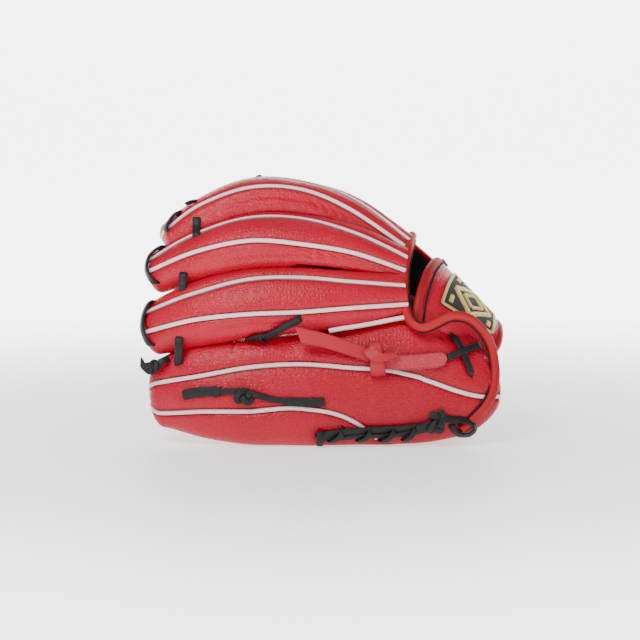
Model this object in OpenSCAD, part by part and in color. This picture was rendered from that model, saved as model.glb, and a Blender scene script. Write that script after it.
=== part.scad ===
// Fielder's glove, standing on its little-finger edge and thumb edge like a small tent.
// X runs from the fingertips (negative) to the wrist (positive), Z is up, the back of the hand faces -Y.

/* [Glove] */
// Overall length from fingertips to wrist
glove_length = 280; // [260:5:300]
// Thickness of the shell leather
leather = 3; // [2.4:0.2:3.2]
// Thickness of the soft lining leather
lining = 1.6; // [1.2:0.2:1.8]
// Thickness of the felt pads in the heel
pad = 4.6; // [3.6:0.2:5]

/* [Trim] */
// Width of the welts between the back panels
welt_width = 3.6; // [2.8:0.2:4.2]
// How far a welt stands above the leather
welt_height = 1; // [0.6:0.2:1.6]
// Diameter of the rolled edge bindings
binding_d = 6.4; // [5.2:0.4:7.2]
// Diameter that a rawhide lace fills
lace_d = 4; // [3.2:0.2:4.4]
// Width of the red pull strap
pull_strap_w = 12; // [9:1:13]

/* [Fold] */
// How far the thumb side closes, in degrees
close_angle = 22; // [16:1:22]
// Wedge left free behind the fold, in degrees
open_gap = 7; // [6:1:8]

/* [Hidden] */
k = glove_length / 280;
gap = 0.3;
rings_per_span = 3;
cap_rings = 3;
roundness = 2.4;
lace_sides = 6;
red = [0.78, 0.07, 0.13];
black = [0.06, 0.06, 0.07];
white = [0.93, 0.9, 0.86];
gold = [0.8, 0.66, 0.3];

// The box's centre in X and Y and its lowest point, moved to the origin.
origin_shift = [1.92, -69.69, -1.85];

// A stall's centre line from wrist to tip:
// [x, y, z, half width, height of the back, depth of the palm side, turn of the back above the horizon]
index_line = [[64, 65, 147, 15, 13, 10, 66], [21, 66, 171, 22, 18, 11, 70], [-18, 67, 182, 25, 20, 13, 76],
  [-56, 67, 183, 26, 21, 14, 76], [-92, 64, 170, 23, 19, 13, 76], [-117, 61, 155, 19, 16, 12, 76]];
middle_line = [[62, 42, 136, 16, 13, 10, 48], [21, 34, 149, 22, 17, 11, 50], [-18, 33, 155, 26, 19, 12, 54],
  [-56, 33, 154, 27, 20, 13, 54], [-95, 36, 144, 24, 18, 12, 54], [-128, 42, 131, 19, 15, 11, 54]];
ring_line = [[62, 24, 114, 18, 13, 10, 30], [21, 14, 113, 23, 16, 10, 28], [-18, 11, 112, 27, 18, 12, 28],
  [-56, 11, 110, 28, 19, 12, 28], [-95, 14, 101, 26, 18, 11, 28], [-130, 22, 89, 21, 14, 10, 28]];
pinky_line = [[118, 18, 62, 34, 12, 10, 20], [98, 9, 53, 46, 14, 10, 16], [59, 7, 49, 48, 16, 10, 12],
  [21, 4, 47, 46, 17, 10, 12], [-18, 3, 44, 43, 19, 12, 12], [-56, 3, 43, 41, 20, 12, 12],
  [-95, 7, 43, 36, 18, 11, 10], [-123, 13, 40, 27, 14, 10, 8]];
thumb_line = [[98, 136, 45, 42, 15, 8, 176], [60, 140, 47.7, 46, 18, 10, 176],
  [20, 140, 53, 46, 20, 12, 175],
  [-20, 136, 62, 43, 20, 12, 172], [-65, 128, 80, 36, 18, 11, 168], [-98, 116, 100, 27, 15, 10, 164]];
base_line = [[88, 112, 114, 24, 10, 8, 136], [60, 112, 127, 36, 12, 8, 138], [26, 120, 146, 42, 13, 8, 146],
  [-8, 118, 154, 29, 12, 8, 147]];

// [name, centre line, tip length, wrist end length, crotch ring, upper welt angles, lower welt angles]
stalls = [
  ["index", index_line, 10, 0, 6, [58, 58], [122, 122]],
  ["middle", middle_line, 9, 0, 6, [58, 58], [122, 122]],
  ["ring", ring_line, 10, 0, 6, [62, 62], [120, 120]],
  ["pinky", pinky_line, 12, 16, 12, [106, 98, 84, 74, 68, 67, 66, 64],
   [172, 168, 150, 127, 109, 111, 112, 116]],
  ["thumb", thumb_line, 12, 14, 9, [60, 60], [120, 120]]
];
strips = ["upper_panel", "center_panel", "lower_panel", "welts"];

// The palm's arch at each station, from the little-finger edge over the fold to the thumb edge:
// [x, [y, z], ...]
palm_arches = [
  [-20, [4, 6], [14, 46], [23, 104], [42, 146], [84, 172], [112, 148], [124, 104], [124, 60], [129, 24]],
  [22, [4, 3], [24, 44], [35, 88], [56, 120], [87, 136], [110, 118], [124, 82], [128, 44], [134, 11]],
  [60, [5, 3], [34, 36], [48, 68], [64, 94], [85, 104], [104, 90], [120, 62], [128, 34], [134, 6]],
  [95, [5, 10], [36, 36], [50, 58], [64, 76], [83, 85], [100, 74], [114, 52], [124, 30], [131, 6]],
  [118, [16, 28], [38, 40], [50, 54], [64, 68], [82, 76], [98, 68], [110, 52], [120, 34], [128, 14]]
];
// The web from base to top, between the index finger's edge and the thumb's edge.
web_arches = [
  [[-30, 99, 174], [-32, 122, 150], [-32, 131, 122]],
  [[-68, 99, 182], [-70, 122, 158], [-70, 127, 128]],
  [[-103, 96, 176], [-110, 112, 156], [-108, 116, 136]]
];
// The wrist strap from under the little-finger side to the thumb side, at its finger edge and wrist edge.
strap_front = [[72, 12, 92], [75, 16, 112], [82, 34, 130], [90, 58, 138], [94, 78, 135]];
strap_rear = [[128, 22, 66], [136, 28, 76], [139, 42, 84], [139, 60, 88], [137, 78, 86]];

// The fold line runs from the top of the web to the heel.
fold_tip = [-100, 92, 176];
fold_heel = [118, 82, 78];

function unit(v) = v / norm(v);
function mix(a, b, t) = a + (b - a) * t;
function ease(t) = let (c = min(max(t, 0), 1)) c * c * (3 - 2 * c);
function power(v, p) = sign(v) * pow(abs(v), p);

// A smooth curve through the rows of a list, at u from 0 to 1.
function along(rows, u) =
  let (last = len(rows) - 1, s = min(max(u * last, 0), last - 0.000001), i = floor(s), t = s - i,
       a = rows[max(i - 1, 0)], b = rows[i], c = rows[i + 1], d = rows[min(i + 2, last)])
  0.5 * (2 * b + (c - a) * t + (2 * a - 5 * b + 4 * c - d) * t * t + (3 * b - a - 3 * c + d) * t * t * t);

function point(v) = [v[0], v[1], v[2]];
function ring_count(line) = rings_per_span * (len(line) - 1);

// A point on a stall's skin at a ring and an angle, 90 being the middle of the back. in is the depth
// below the skin.
function skin(stall, ring, angle, in = 0) =
  let (line = stall[1], n = ring_count(line), u = min(max(ring / n, 0), 1), s = along(line, u),
       t = unit(point(along(line, min(u + 0.01, 1))) - point(along(line, max(u - 0.01, 0)))),
       out0 = [0, -cos(s[6]), sin(s[6])], out = unit(out0 - (out0 * t) * t), side = cross(t, out),
       over = max(ring - n, -ring, 0), turn = 87 * over / cap_rings, shrink = pow(cos(turn), 0.8),
       reach = ring > n ? stall[2] - in : (ring < 0 ? in - stall[3] : 0),
       h = sin(angle) >= 0 ? s[4] : s[5])
  point(s) * k + t * reach * sin(turn)
  + side * (s[3] * k - in) * shrink * power(cos(angle), 2 / roundness)
  + out * (h * k - in) * shrink * power(sin(angle), 2 / roundness);

// Where each panel's sides lie. Beyond the crotch the side panels wrap round to the palm.
function wrap(stall, ring) = 34 * ease((ring - stall[4]) / 2);
function low_edge(stall, ring) =
  stall[0] == "pinky" || stall[0] == "thumb" ? max(wrap(stall, ring), 16) : wrap(stall, ring);
function welt_angle(stall, ring, which) = along([for (a = stall[which]) [a]],
  ring / ring_count(stall[1]))[0];
function half_welt(stall, ring) = 57.3 * welt_width / 2 / along(stall[1], ring / ring_count(stall[1]))[3];
function strip_angles(stall, strip, ring) =
  let (w = half_welt(stall, ring), u = welt_angle(stall, ring, 5), l = welt_angle(stall, ring, 6))
  strip == 0 ? [-wrap(stall, ring) + 1, u - w] :
  strip == 1 ? [u + w, l - w] :
  strip == 2 ? [l + w, 179 + low_edge(stall, ring)] :
  strip == 3 ? [u - w + 1.4, u + w - 1.4] : [l - w + 1.4, l + w - 1.4];

function rings_of(stall) =
  [for (i = [(stall[3] > 0 ? -cap_rings : 0) : ring_count(stall[1]) + cap_rings]) i];

// A grid of points over part of a stall's skin. The welts stop one ring short of each end.
function skin_grid(stall, strip, columns, in) =
  [for (i = rings_of(stall)) if (strip < 3 || (i > -cap_rings && i < ring_count(stall[1]) + cap_rings))
    let (a = strip_angles(stall, strip, i))
    [for (j = [0 : columns]) skin(stall, i, mix(a[0], a[1], j / columns), in)]];

// A closed slab between two grids of points.
module slab(outer, inner) {
  r = len(outer);
  c = len(outer[0]);
  n = r * c;
  around = concat([for (j = [0 : c - 2]) j], [for (i = [0 : r - 2]) i * c + c - 1],
                  [for (j = [c - 1 : -1 : 1]) (r - 1) * c + j], [for (i = [r - 1 : -1 : 1]) i * c]);
  m = len(around);
  faces = concat(
    [for (i = [0 : r - 2], j = [0 : c - 2]) let (a = i * c + j)
      each [[a, a + 1, a + c + 1], [a, a + c + 1, a + c]]],
    [for (i = [0 : r - 2], j = [0 : c - 2]) let (a = n + i * c + j)
      each [[a, a + c + 1, a + 1], [a, a + c, a + c + 1]]],
    [for (i = [0 : m - 1]) let (a = around[i], b = around[(i + 1) % m])
      each [[b, a, n + a], [b, n + a, n + b]]]);
  polyhedron([for (row = outer) each row, for (row = inner) each row], faces);
}

// A tube along a path, w wide and h thick: [path, w, h, a direction out of the leather].
module tube(t, grow = 0) {
  path = t[0];
  n = len(path);
  ways = [for (i = [0 : n - 1]) unit(path[min(i + 1, n - 1)] - path[max(i - 1, 0)])];
  ups = carried(ways, t[3], 0);
  points = [for (i = [0 : n - 1]) let (s = cross(ways[i], ups[i])) for (j = [0 : lace_sides - 1])
    let (a = 360 * (j + 0.5) / lace_sides)
    path[i] + s * (t[1] / 2 + grow) * cos(a) + ups[i] * (t[2] / 2 + grow) * sin(a)];
  faces = concat(
    [for (i = [0 : n - 2], j = [0 : lace_sides - 1])
      let (a = i * lace_sides + j, b = i * lace_sides + (j + 1) % lace_sides)
      each [[a, b, b + lace_sides], [a, b + lace_sides, a + lace_sides]]],
    [[for (j = [lace_sides - 1 : -1 : 0]) j]], [[for (j = [0 : lace_sides - 1]) (n - 1) * lace_sides + j]]);
  polyhedron(points, faces);
}
// The tube's upright, carried along from one ring to the next.
function carried(ways, up, i) =
  i == len(ways) ? [] : let (v = unit(up - (up * ways[i]) * ways[i])) concat([v], carried(ways, v, i + 1));

// Sheets: a function of s and t gives the face, and the slab is offset along the face's normal.
function arch_point(rows, s, t) = along(along(rows, s), t);
palm_rows = [for (a = palm_arches) [for (i = [1 : len(a) - 1]) [a[0], a[i][0], a[i][1]]]];
function normal_at(rows, s, t) =
  unit(cross(arch_point(rows, min(s + 0.02, 1), t) - arch_point(rows, max(s - 0.02, 0), t),
             arch_point(rows, s, min(t + 0.02, 1)) - arch_point(rows, s, max(t - 0.02, 0))));
function sheet_grid(rows, s0, s1, t0, t1, m, n, out) =
  [for (i = [0 : m]) [for (j = [0 : n]) let (s = mix(s0, s1, i / m), t = mix(t0, t1, j / n))
    arch_point(rows, s, t) * k + normal_at(rows, s, t) * out]];
module sheet(rows, s0, s1, t0, t1, m, n, from, thick) {
  slab(sheet_grid(rows, s0, s1, t0, t1, m, n, from + thick), sheet_grid(rows, s0, s1, t0, t1, m, n, from));
}
strap_rows = [strap_front, strap_rear];

// The two half spaces beside the fold, with a wedge free on each side of its line.
module beside_fold(side) {
  way = unit(fold_heel - fold_tip);
  up = unit([0, 0, 1] - way[2] * way);
  across = cross(up, way);
  far = 400;
  m = [[across[0], up[0], way[0], fold_tip[0] * k], [across[1], up[1], way[1], fold_tip[1] * k],
       [across[2], up[2], way[2], fold_tip[2] * k], [0, 0, 0, 1]];
  multmatrix(m) translate([0, 0, -100]) linear_extrude(500)
    if (side < 0) polygon([[-gap, -far], [-gap, far], [-far, far], [-far, -far]]);
    else polygon([[gap, 0], [far * sin(open_gap), far * cos(open_gap)], [far, far], [far, -far],
                  [far * sin(close_angle + 2), -far * cos(close_angle + 2)]]);
}
module place() {
  translate(origin_shift * k) children();
}
// Solids made by cutting freeform sheets are taken as one mesh.
module cut_mesh() {
  resize([0, 0, 0]) children();
}

// Laces and rolled edges as tubes. A lace's point is [stall number, ring, angle, height above the skin].
function on_skin(p) = skin(stalls[p[0]], p[1], p[2], -p[3]);
function lace_path(points, steps) =
  let (q = [for (p = points) on_skin(p)]) [for (i = [0 : steps]) along(q, i / steps)];
function route(points, steps) = [for (i = [0 : steps]) along(points, i / steps) * k];
lace_t = 0.7 * lace_d;

function roll(points, steps, up) = [route(points, steps), binding_d, binding_d, up];
opening_roll = roll([[70, 72, 158], [68, 50, 150], [67, 33, 133], [67, 19, 115], [68, 5, 103]],
  14, [1, 0, 0]);
wrist_roll = roll([[77, -1, 101], [93, 0, 103], [111, 2, 100], [127, 8, 88], [135, 15, 69], [129, 12, 46],
  [114, 5, 27]], 20, [0, -1, 0]);
thumb_roll = roll([[97, 96, 136], [101, 116, 118], [107, 134, 96], [114, 144, 64], [114, 142, 34],
  [107, 136, 14]], 16, [0, 1, 0]);
front_roll = roll(strap_front, 12, [1, 0, 0]);
rear_roll = roll(strap_rear, 12, [1, 0, 0]);
tip_lace = [lace_path([
  [3, 23.6, 40, 3], [3, 22, 8, -4], [3, 20.4, 2, 0], [2, 12.8, 178, 0], [2, 14.5, 150, -7],
    [2, 16.4, 122, 1],
  [2, 16.9, 92, 2.4], [2, 16.4, 62, 1], [2, 14.5, 30, -7], [2, 13, 2, 0], [1, 13, 178, 0],
    [1, 14.5, 150, -7],
  [1, 16.4, 124, 1], [1, 16.9, 92, 2.4], [1, 16.4, 60, 1], [1, 14.5, 30, -7], [1, 13, 2, 0],
    [0, 13.5, 177, 0.3],
  [0, 14.4, 148, -6], [0, 16.4, 124, 1], [0, 16.9, 92, 2.4], [0, 16.4, 60, 1], [0, 15, 30, -5],
    [0, 13.6, 2, 3]], 76),
  lace_d, lace_t, [-1, 0, 0.2]];
gap_lace = [lace_path([[2, 8.6, 185, -5], [2, 8.2, 176, 3], [2, 7.4, 158, 3], [2, 6.6, 142, 2],
  [2, 6.2, 136, -4]], 10),
  lace_d, lace_t, [0, -1, 0]];
pinky_lace = [lace_path([[3, 18.8, 94, 2], [3, 17.6, 92, 2.4], [3, 16.4, 93, 2.6], [3, 15.2, 95, 4],
  [3, 13.8, 99, 2.6],
  [3, 12, 101, 2.4], [3, 10.6, 102, 2]], 20), lace_d + 1, lace_t, [0, -1, 0.1]];
pull_tube = [lace_path([[3, 10.9, 20, 6], [3, 9.6, 32, 5], [3, 8.2, 48, 5], [3, 7.4, 56, 6],
  [3, 6, 62, 5], [3, 4.6, 62, 4.4],
  [3, 3.6, 64, 3]], 20), pull_strap_w, 2.6, [0, -1, 0.2]];
cross_laces = [for (p = [[[3, 3.1, 50, -3], [3, 2.5, 56, 2.4], [3, 1.4, 92, 2.4], [3, 1, 100, -3]],
                         [[3, 3.6, 74, -3], [3, 3, 71, 5.4], [3, 1.2, 54, 5.4], [3, 0.5, 50, -3]]])
  [lace_path(p, 10), lace_d + 0.6, lace_t - 0.2, [0, -1, 0]]];
heel_strand = [lace_path([[3, 10.9, 140, 2], [3, 9.5, 134, 4], [3, 8, 133, 4], [3, 6, 132, 4],
  [3, 4.4, 130, 5]], 16),
  lace_d + 0.8, lace_t, [0, -1, 0]];
heel_loop = [route([[84, -7, 20], [98, -5, 18], [110, 0, 15], [114, 5, 11], [108, 2, 8], [98, -1, 10]], 14),
  lace_d + 0.6, lace_t, [0, 0, 1]];
heel_stitches = [for (i = [10.6, 8.6, 7, 5.4]) [lace_path([[3, i, 140, -3], [3, i + 0.1, 143, 1.4],
  [3, i + 0.5, 154, 1.4],
  [3, i + 0.6, 159, -3]], 6), lace_d, lace_t - 0.4, [0, -1, 0]]];
thumb_lace = [lace_path([[4, 11.4, 88, 2], [4, 10.2, 90, 2.6], [4, 9, 90, 4], [4, 7.8, 90, 2.6],
  [4, 6.4, 92, 2]], 16),
  lace_d + 1, lace_t, [0, 1, 0.1]];
thumb_strand = [lace_path([[4, 5.6, 42, 3], [4, 4, 41, 4], [4, 2.4, 41, 4], [4, 0.8, 42, 3]], 12),
  lace_d + 0.8, lace_t, [0, 1, 0]];
thumb_stitches = [for (i = [5, 3.6, 2.2, 0.8]) [lace_path([[4, i, 37, -3], [4, i + 0.1, 34, 1.4],
  [4, i + 0.4, 24, 1.4],
  [4, i + 0.5, 20, -3]], 6), lace_d, lace_t - 0.4, [0, 1, 0]]];

// What passes through or wraps the leather on each side of the fold.
finger_tubes = concat([opening_roll, wrist_roll, front_roll, rear_roll, tip_lace, gap_lace, pull_tube,
  heel_strand, heel_loop],
  cross_laces, heel_stitches);
thumb_tubes = concat([thumb_roll], thumb_stitches);

// A whole stall's outside, to trim its neighbour.
module stall_hull(stall, out) {
  rows = rings_of(stall);
  m = 16;
  n = len(rows);
  points = [for (i = rows, j = [0 : m - 1]) skin(stall, i, 360 * j / m, -out)];
  polyhedron(points, concat(
    [for (i = [0 : n - 2], j = [0 : m - 1]) let (a = i * m + j, b = i * m + (j + 1) % m) each [[a, b,
      b + m], [a, b + m, a + m]]],
    [[for (j = [m - 1 : -1 : 0]) j]], [[for (j = [0 : m - 1]) (n - 1) * m + j]]));
}

// Back panels and welts of one stall.
module back_strip(number, strip) {
  stall = stalls[number];
  fine = strip == 1 ? 4 : 3;
  place() cut_mesh() difference() {
    if (strip == 3) {
      for (w = [3, 4]) slab(skin_grid(stall, w, 1, -welt_height), skin_grid(stall, w, 1, leather - 0.6));
    } else slab(skin_grid(stall, strip, fine, 0), skin_grid(stall, strip, fine, leather));
    if (number > 0 && number < 4) stall_hull(stalls[number - 1], gap + (strip == 3 ? 0 : 0.2));
    for (t = number == 4 ? thumb_tubes : finger_tubes) tube(t, gap);
    if (number == 3) sheet(strap_rows, 0.05, 0.95, 0, 1, 5, 8, -2 * gap, leather + 4 * gap);
  }
}

base_stall = ["base", base_line, 10, 0, 99, [90], [90]];
module base_part(a0, a1, columns, out, in) {
  rows = rings_of(base_stall);
  difference() {
    slab([for (i = rows) [for (j = [0 : columns]) skin(base_stall, i, mix(a0, a1, j / columns), out)]],
         [for (i = rows) [for (j = [0 : columns]) skin(base_stall, i, mix(a0, a1, j / columns), in)]]);
    tube(thumb_roll, gap);
  }
}
module thumb_base_panel() {
  color(red) place() cut_mesh() {
    base_part(4, 86, 4, 0, leather);
    base_part(94, 176, 4, 0, leather);
  }
}
module thumb_base_welt() {
  color(white) place() cut_mesh() base_part(87.5, 92.5, 1, -welt_height, leather - 0.6);
}

// Palm leather: the hand's arch and the fronts of the stalls in one piece.
module stall_front(stall, first) {
  rows = [for (i = [first : ring_count(stall[1]) + cap_rings]) i];
  slab([for (i = rows) [for (j = [0 : 3]) skin(stall, i, 215.5 + 109 * j / 3, 0)]],
       [for (i = rows) [for (j = [0 : 3]) skin(stall, i, 215.5 + 109 * j / 3, leather)]]);
}
module palm_leather(side) {
  cut_mesh() difference() {
    intersection() {
      union() {
        sheet(palm_rows, 0, 1, 0, 1, 10, 18, 0, leather);
        for (s = stalls) if ((side < 0) != (s[0] == "thumb")) stall_front(s, s[4] - 1);
      }
      beside_fold(side);
    }
    for (s = stalls, strip = [0, 2]) if ((side < 0) != (s[0] == "thumb"))
      slab(skin_grid(s, strip, 3, -gap - 0.1), skin_grid(s, strip, 3, leather + gap + 0.1));
    for (t = side < 0 ? finger_tubes : thumb_tubes) tube(t, gap);
  }
}
module palm_finger_side() {
  color(red) place() palm_leather(-1);
}
module palm_thumb_side() {
  color(red) place() palm_leather(1);
}

// Lining and pads lie on the hand's side of the palm leather.
module hand_layer(side, s0, s1, t0, t1, from, thick) {
  place() cut_mesh() difference() {
    intersection() {
      sheet(palm_rows, s0, s1, t0, t1, 6, 12, from, thick);
      beside_fold(side);
    }
    if (side > 0) slab(skin_grid(stalls[4], 2, 3, -gap), skin_grid(stalls[4], 2, 3, leather + gap));
    for (t = side < 0 ? finger_tubes : thumb_tubes) tube(t, gap);
  }
}
module lining_finger_side() {
  color(black) hand_layer(-1, 0.12, 0.98, 0.09, 0.94, leather + pad + 1.8, lining);
}
module lining_thumb_side() {
  color(black) hand_layer(1, 0.12, 0.98, 0.06, 0.9, leather + pad + 1.8, lining);
}
module pinky_heel_pad() {
  color("ivory") hand_layer(-1, 0.35, 0.97, 0.1, 0.44, leather + 0.9, pad);
}
module thumb_heel_pad() {
  color("ivory") hand_layer(1, 0.35, 0.97, 0.6, 0.88, leather + 0.9, pad);
}

// Black lining under the back of the hand.
back_arches = [
  [[-6, 6, 88], [-6, 18, 117], [-6, 28, 134], [-6, 50, 165], [-6, 84, 182]],
  [[26, 8, 91], [26, 21, 118], [26, 29, 132], [26, 51, 158], [26, 83, 172]],
  [[60, 19, 97], [60, 29, 117], [60, 33, 124], [60, 52, 140], [60, 76, 150]]
];
module back_lining() {
  color(black) place() sheet(back_arches, 0, 1, 0.05, 0.97, 5, 8, 0, lining);
}

module wrist_strap() {
  color(red) place() cut_mesh() difference() {
    sheet(strap_rows, 0.05, 0.95, 0, 1, 5, 8, 0, leather);
    for (t = concat([front_roll, rear_roll, opening_roll, wrist_roll], cross_laces)) tube(t, gap);
  }
}
module strap_front_roll() {
  color(red) place() tube(front_roll);
}
module strap_rear_roll() {
  color(red) place() tube(rear_roll);
}
module label_patch() {
  color(black) place() sheet(strap_rows, 0.27, 0.86, 0.3, 0.8, 5, 8, leather + 0.5, 1);
}
module label_border() {
  color(gold) place() for (e = [[0.235, 0.26, 0.28, 0.82], [0.87, 0.895, 0.28, 0.82]])
    sheet(strap_rows, e[0], e[1], e[2], e[3], 1, 8, leather + 0.5, 1.4);
}
module label_emblem() {
  color(gold) place() for (e = [[0.34, 0.46], [0.51, 0.63], [0.68, 0.8]])
    sheet(strap_rows, e[0], e[1], 0.38, 0.72, 1, 6, leather + 2, 1);
}

module opening_binding() {
  color(red) place() tube(opening_roll);
}
module wrist_binding() {
  color(red) place() tube(wrist_roll);
}
module thumb_binding() {
  color(red) place() tube(thumb_roll);
}

module fingertip_lace() {
  color(black) place() tube(tip_lace);
}
module fingertip_knot() {
  color(black) place() translate(on_skin([3, 23.6, 40, 5])) knot(11);
}
// A tied knot: three turns of lace closed up to a ball.
module knot(size) {
  cut_mesh() for (a = [0, 60, 120]) rotate([90 + a / 4, a, a / 2])
    rotate_extrude($fn = 10) translate([size / 2 - lace_d / 2, 0]) circle(d = lace_d, $fn = 6);
}
module finger_gap_lace() {
  color(black) place() tube(gap_lace);
}
module pinky_adjust_lace() {
  color(black) place() tube(pinky_lace);
}
module pinky_adjust_knot() {
  color(black) place() translate(on_skin([3, 15.4, 95, 6])) knot(10);
}
module pull_strap() {
  color(red) place() tube(pull_tube);
}
module pull_strap_knot() {
  color(red) place() translate(on_skin([3, 7.3, 57, 9])) rotate([0, 20, 0]) resize([12, 10,
    19]) sphere(8, $fn = 12);
}
// The two black legs of the crossed lace on the wrist.
module strap_cross_lace() {
  color(black) place() for (t = cross_laces) tube(t);
}
// Heel lacing: a long strand, its loop past the heel, and the stitches under it.
module heel_lace() {
  color(black) place() cut_mesh() {
    tube(heel_strand);
    tube(heel_loop);
    for (t = heel_stitches) tube(t);
  }
}
module heel_lace_knot() {
  color(black) place() translate(on_skin([3, 4.6, 131, 8])) knot(12);
}

// The web: two cross bars and a post, laced to the index finger and the thumb.
web_leather = 5;
module web_top_bar() {
  color(red) place() sheet(web_arches, 0.8, 1, 0, 1, 2, 8, 0, web_leather);
}
module web_post() {
  color(red) place() sheet(web_arches, 0.2, 0.795, 0.36, 0.64, 5, 3, 0, web_leather);
}
module web_base_bar() {
  color(red) place() sheet(web_arches, 0, 0.195, 0.02, 0.98, 2, 8, 0, web_leather);
}
function web_point(s, t, out) = arch_point(web_arches, s, t) * k + normal_at(web_arches, s, t) * out;
module web_rungs(t0, t1) {
  color(black) place() for (s = [0.27, 0.4, 0.53, 0.66]) for (out = [0.6, 4.4])
    tube([[for (i = [0 : 3]) web_point(s, mix(t0, t1, i / 3), out)], lace_d, lace_t, [0, 1, 1]]);
}
module web_index_lace() {
  web_rungs(0.02, 0.34);
}
module web_thumb_lace() {
  web_rungs(0.66, 0.9);
}
module web_top_lace() {
  color(black) place() tube([[for (i = [0 : 12]) web_point(1.0, 0.04 + 0.92 * i / 12, 2.5) + [-4.5, 0,
    0]], lace_d, lace_t, [0, 1, 1]]);
}

module thumb_adjust_lace() {
  color(black) place() tube(thumb_lace);
}
module thumb_adjust_knot() {
  color(black) place() translate(on_skin([4, 9, 90, 7])) knot(10);
}
module thumb_heel_lace() {
  color(black) place() cut_mesh() {
    tube(thumb_strand);
    for (t = thumb_stitches) tube(t);
  }
}

for (n = [0 : len(stalls) - 1], i = [0 : 3])
  color(i == 3 ? white : red) back_strip(n, i);
thumb_base_panel();
thumb_base_welt();
palm_finger_side();
palm_thumb_side();
lining_finger_side();
lining_thumb_side();
back_lining();
pinky_heel_pad();
thumb_heel_pad();
wrist_strap();
strap_front_roll();
strap_rear_roll();
label_patch();
label_border();
label_emblem();
opening_binding();
wrist_binding();
thumb_binding();
fingertip_lace();
fingertip_knot();
finger_gap_lace();
pinky_adjust_lace();
pinky_adjust_knot();
pull_strap();
pull_strap_knot();
strap_cross_lace();
heel_lace();
heel_lace_knot();
web_top_bar();
web_post();
web_base_bar();
web_index_lace();
web_thumb_lace();
web_top_lace();
thumb_adjust_lace();
thumb_adjust_knot();
thumb_heel_lace();
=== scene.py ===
import bpy
import math
import numpy as np
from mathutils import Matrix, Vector, noise


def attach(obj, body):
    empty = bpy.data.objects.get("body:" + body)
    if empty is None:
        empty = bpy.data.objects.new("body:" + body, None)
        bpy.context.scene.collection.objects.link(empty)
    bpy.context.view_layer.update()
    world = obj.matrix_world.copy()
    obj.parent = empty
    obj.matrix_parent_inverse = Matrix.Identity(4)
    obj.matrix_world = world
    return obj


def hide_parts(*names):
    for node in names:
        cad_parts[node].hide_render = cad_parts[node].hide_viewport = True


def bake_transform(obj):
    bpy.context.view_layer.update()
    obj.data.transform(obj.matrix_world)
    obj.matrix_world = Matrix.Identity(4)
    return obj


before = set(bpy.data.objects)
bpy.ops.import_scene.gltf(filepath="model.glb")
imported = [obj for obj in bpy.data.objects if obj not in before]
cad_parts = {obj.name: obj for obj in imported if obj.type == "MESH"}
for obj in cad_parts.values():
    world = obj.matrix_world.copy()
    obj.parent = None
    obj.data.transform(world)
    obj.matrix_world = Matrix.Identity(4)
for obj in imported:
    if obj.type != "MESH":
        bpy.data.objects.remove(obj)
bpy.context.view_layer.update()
print("frame loaded")

# The glove is drawn in millimetres, fingertips towards -X and the back of the hand towards -Y,
# and moved to the frame's origin at the end.
originShift = np.array([1.92, -69.69, -1.85])
roundness = 2.4
ringsPerSpan = 3
capRings = 3
cordStep = 1.1  # between the rings of a lace or roll
fingerSide = "finger_side"
thumbSide = "thumb_side"
madePieces = []


def place(points):
    return (np.asarray(points, float) + originShift) * 0.001


def unit(v):
    return v / np.maximum(np.linalg.norm(v, axis=-1, keepdims=True), 1e-9)


def ease(t):
    t = np.clip(t, 0, 1)
    return t * t * (3 - 2 * t)


def signedPower(v, p):
    return np.sign(v) * np.abs(v) ** p


def along(rows, u):
    rows = np.asarray(rows, float)  # a smooth curve through the rows, u from 0 to 1
    last = len(rows) - 1
    s = np.clip(np.asarray(u, float) * last, 0, last - 1e-6)
    i = np.floor(s).astype(int)
    t = (s - i)[..., None]
    a, b, c, d = rows[np.maximum(i - 1, 0)], rows[i], rows[i + 1], rows[np.minimum(i + 2, last)]
    return 0.5 * (2 * b + (c - a) * t + (2 * a - 5 * b + 4 * c - d) * t * t + (3 * b - a - 3 * c + d) * t ** 3)


# camera, lights and floor
studio = {
    "cameraDistance": 1500.0,
    "cameraHeight": 6.0,
    "aim": (-2.3, 0.0, 98.3),
    "lens": 109.6,
    "keyPower": 17.0,
    "fillPower": 3.0,
    "worldStrength": 0.25,
    "paperGlowNear": 0.8,
    "paperGlowFar": 4.6,
}


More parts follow.
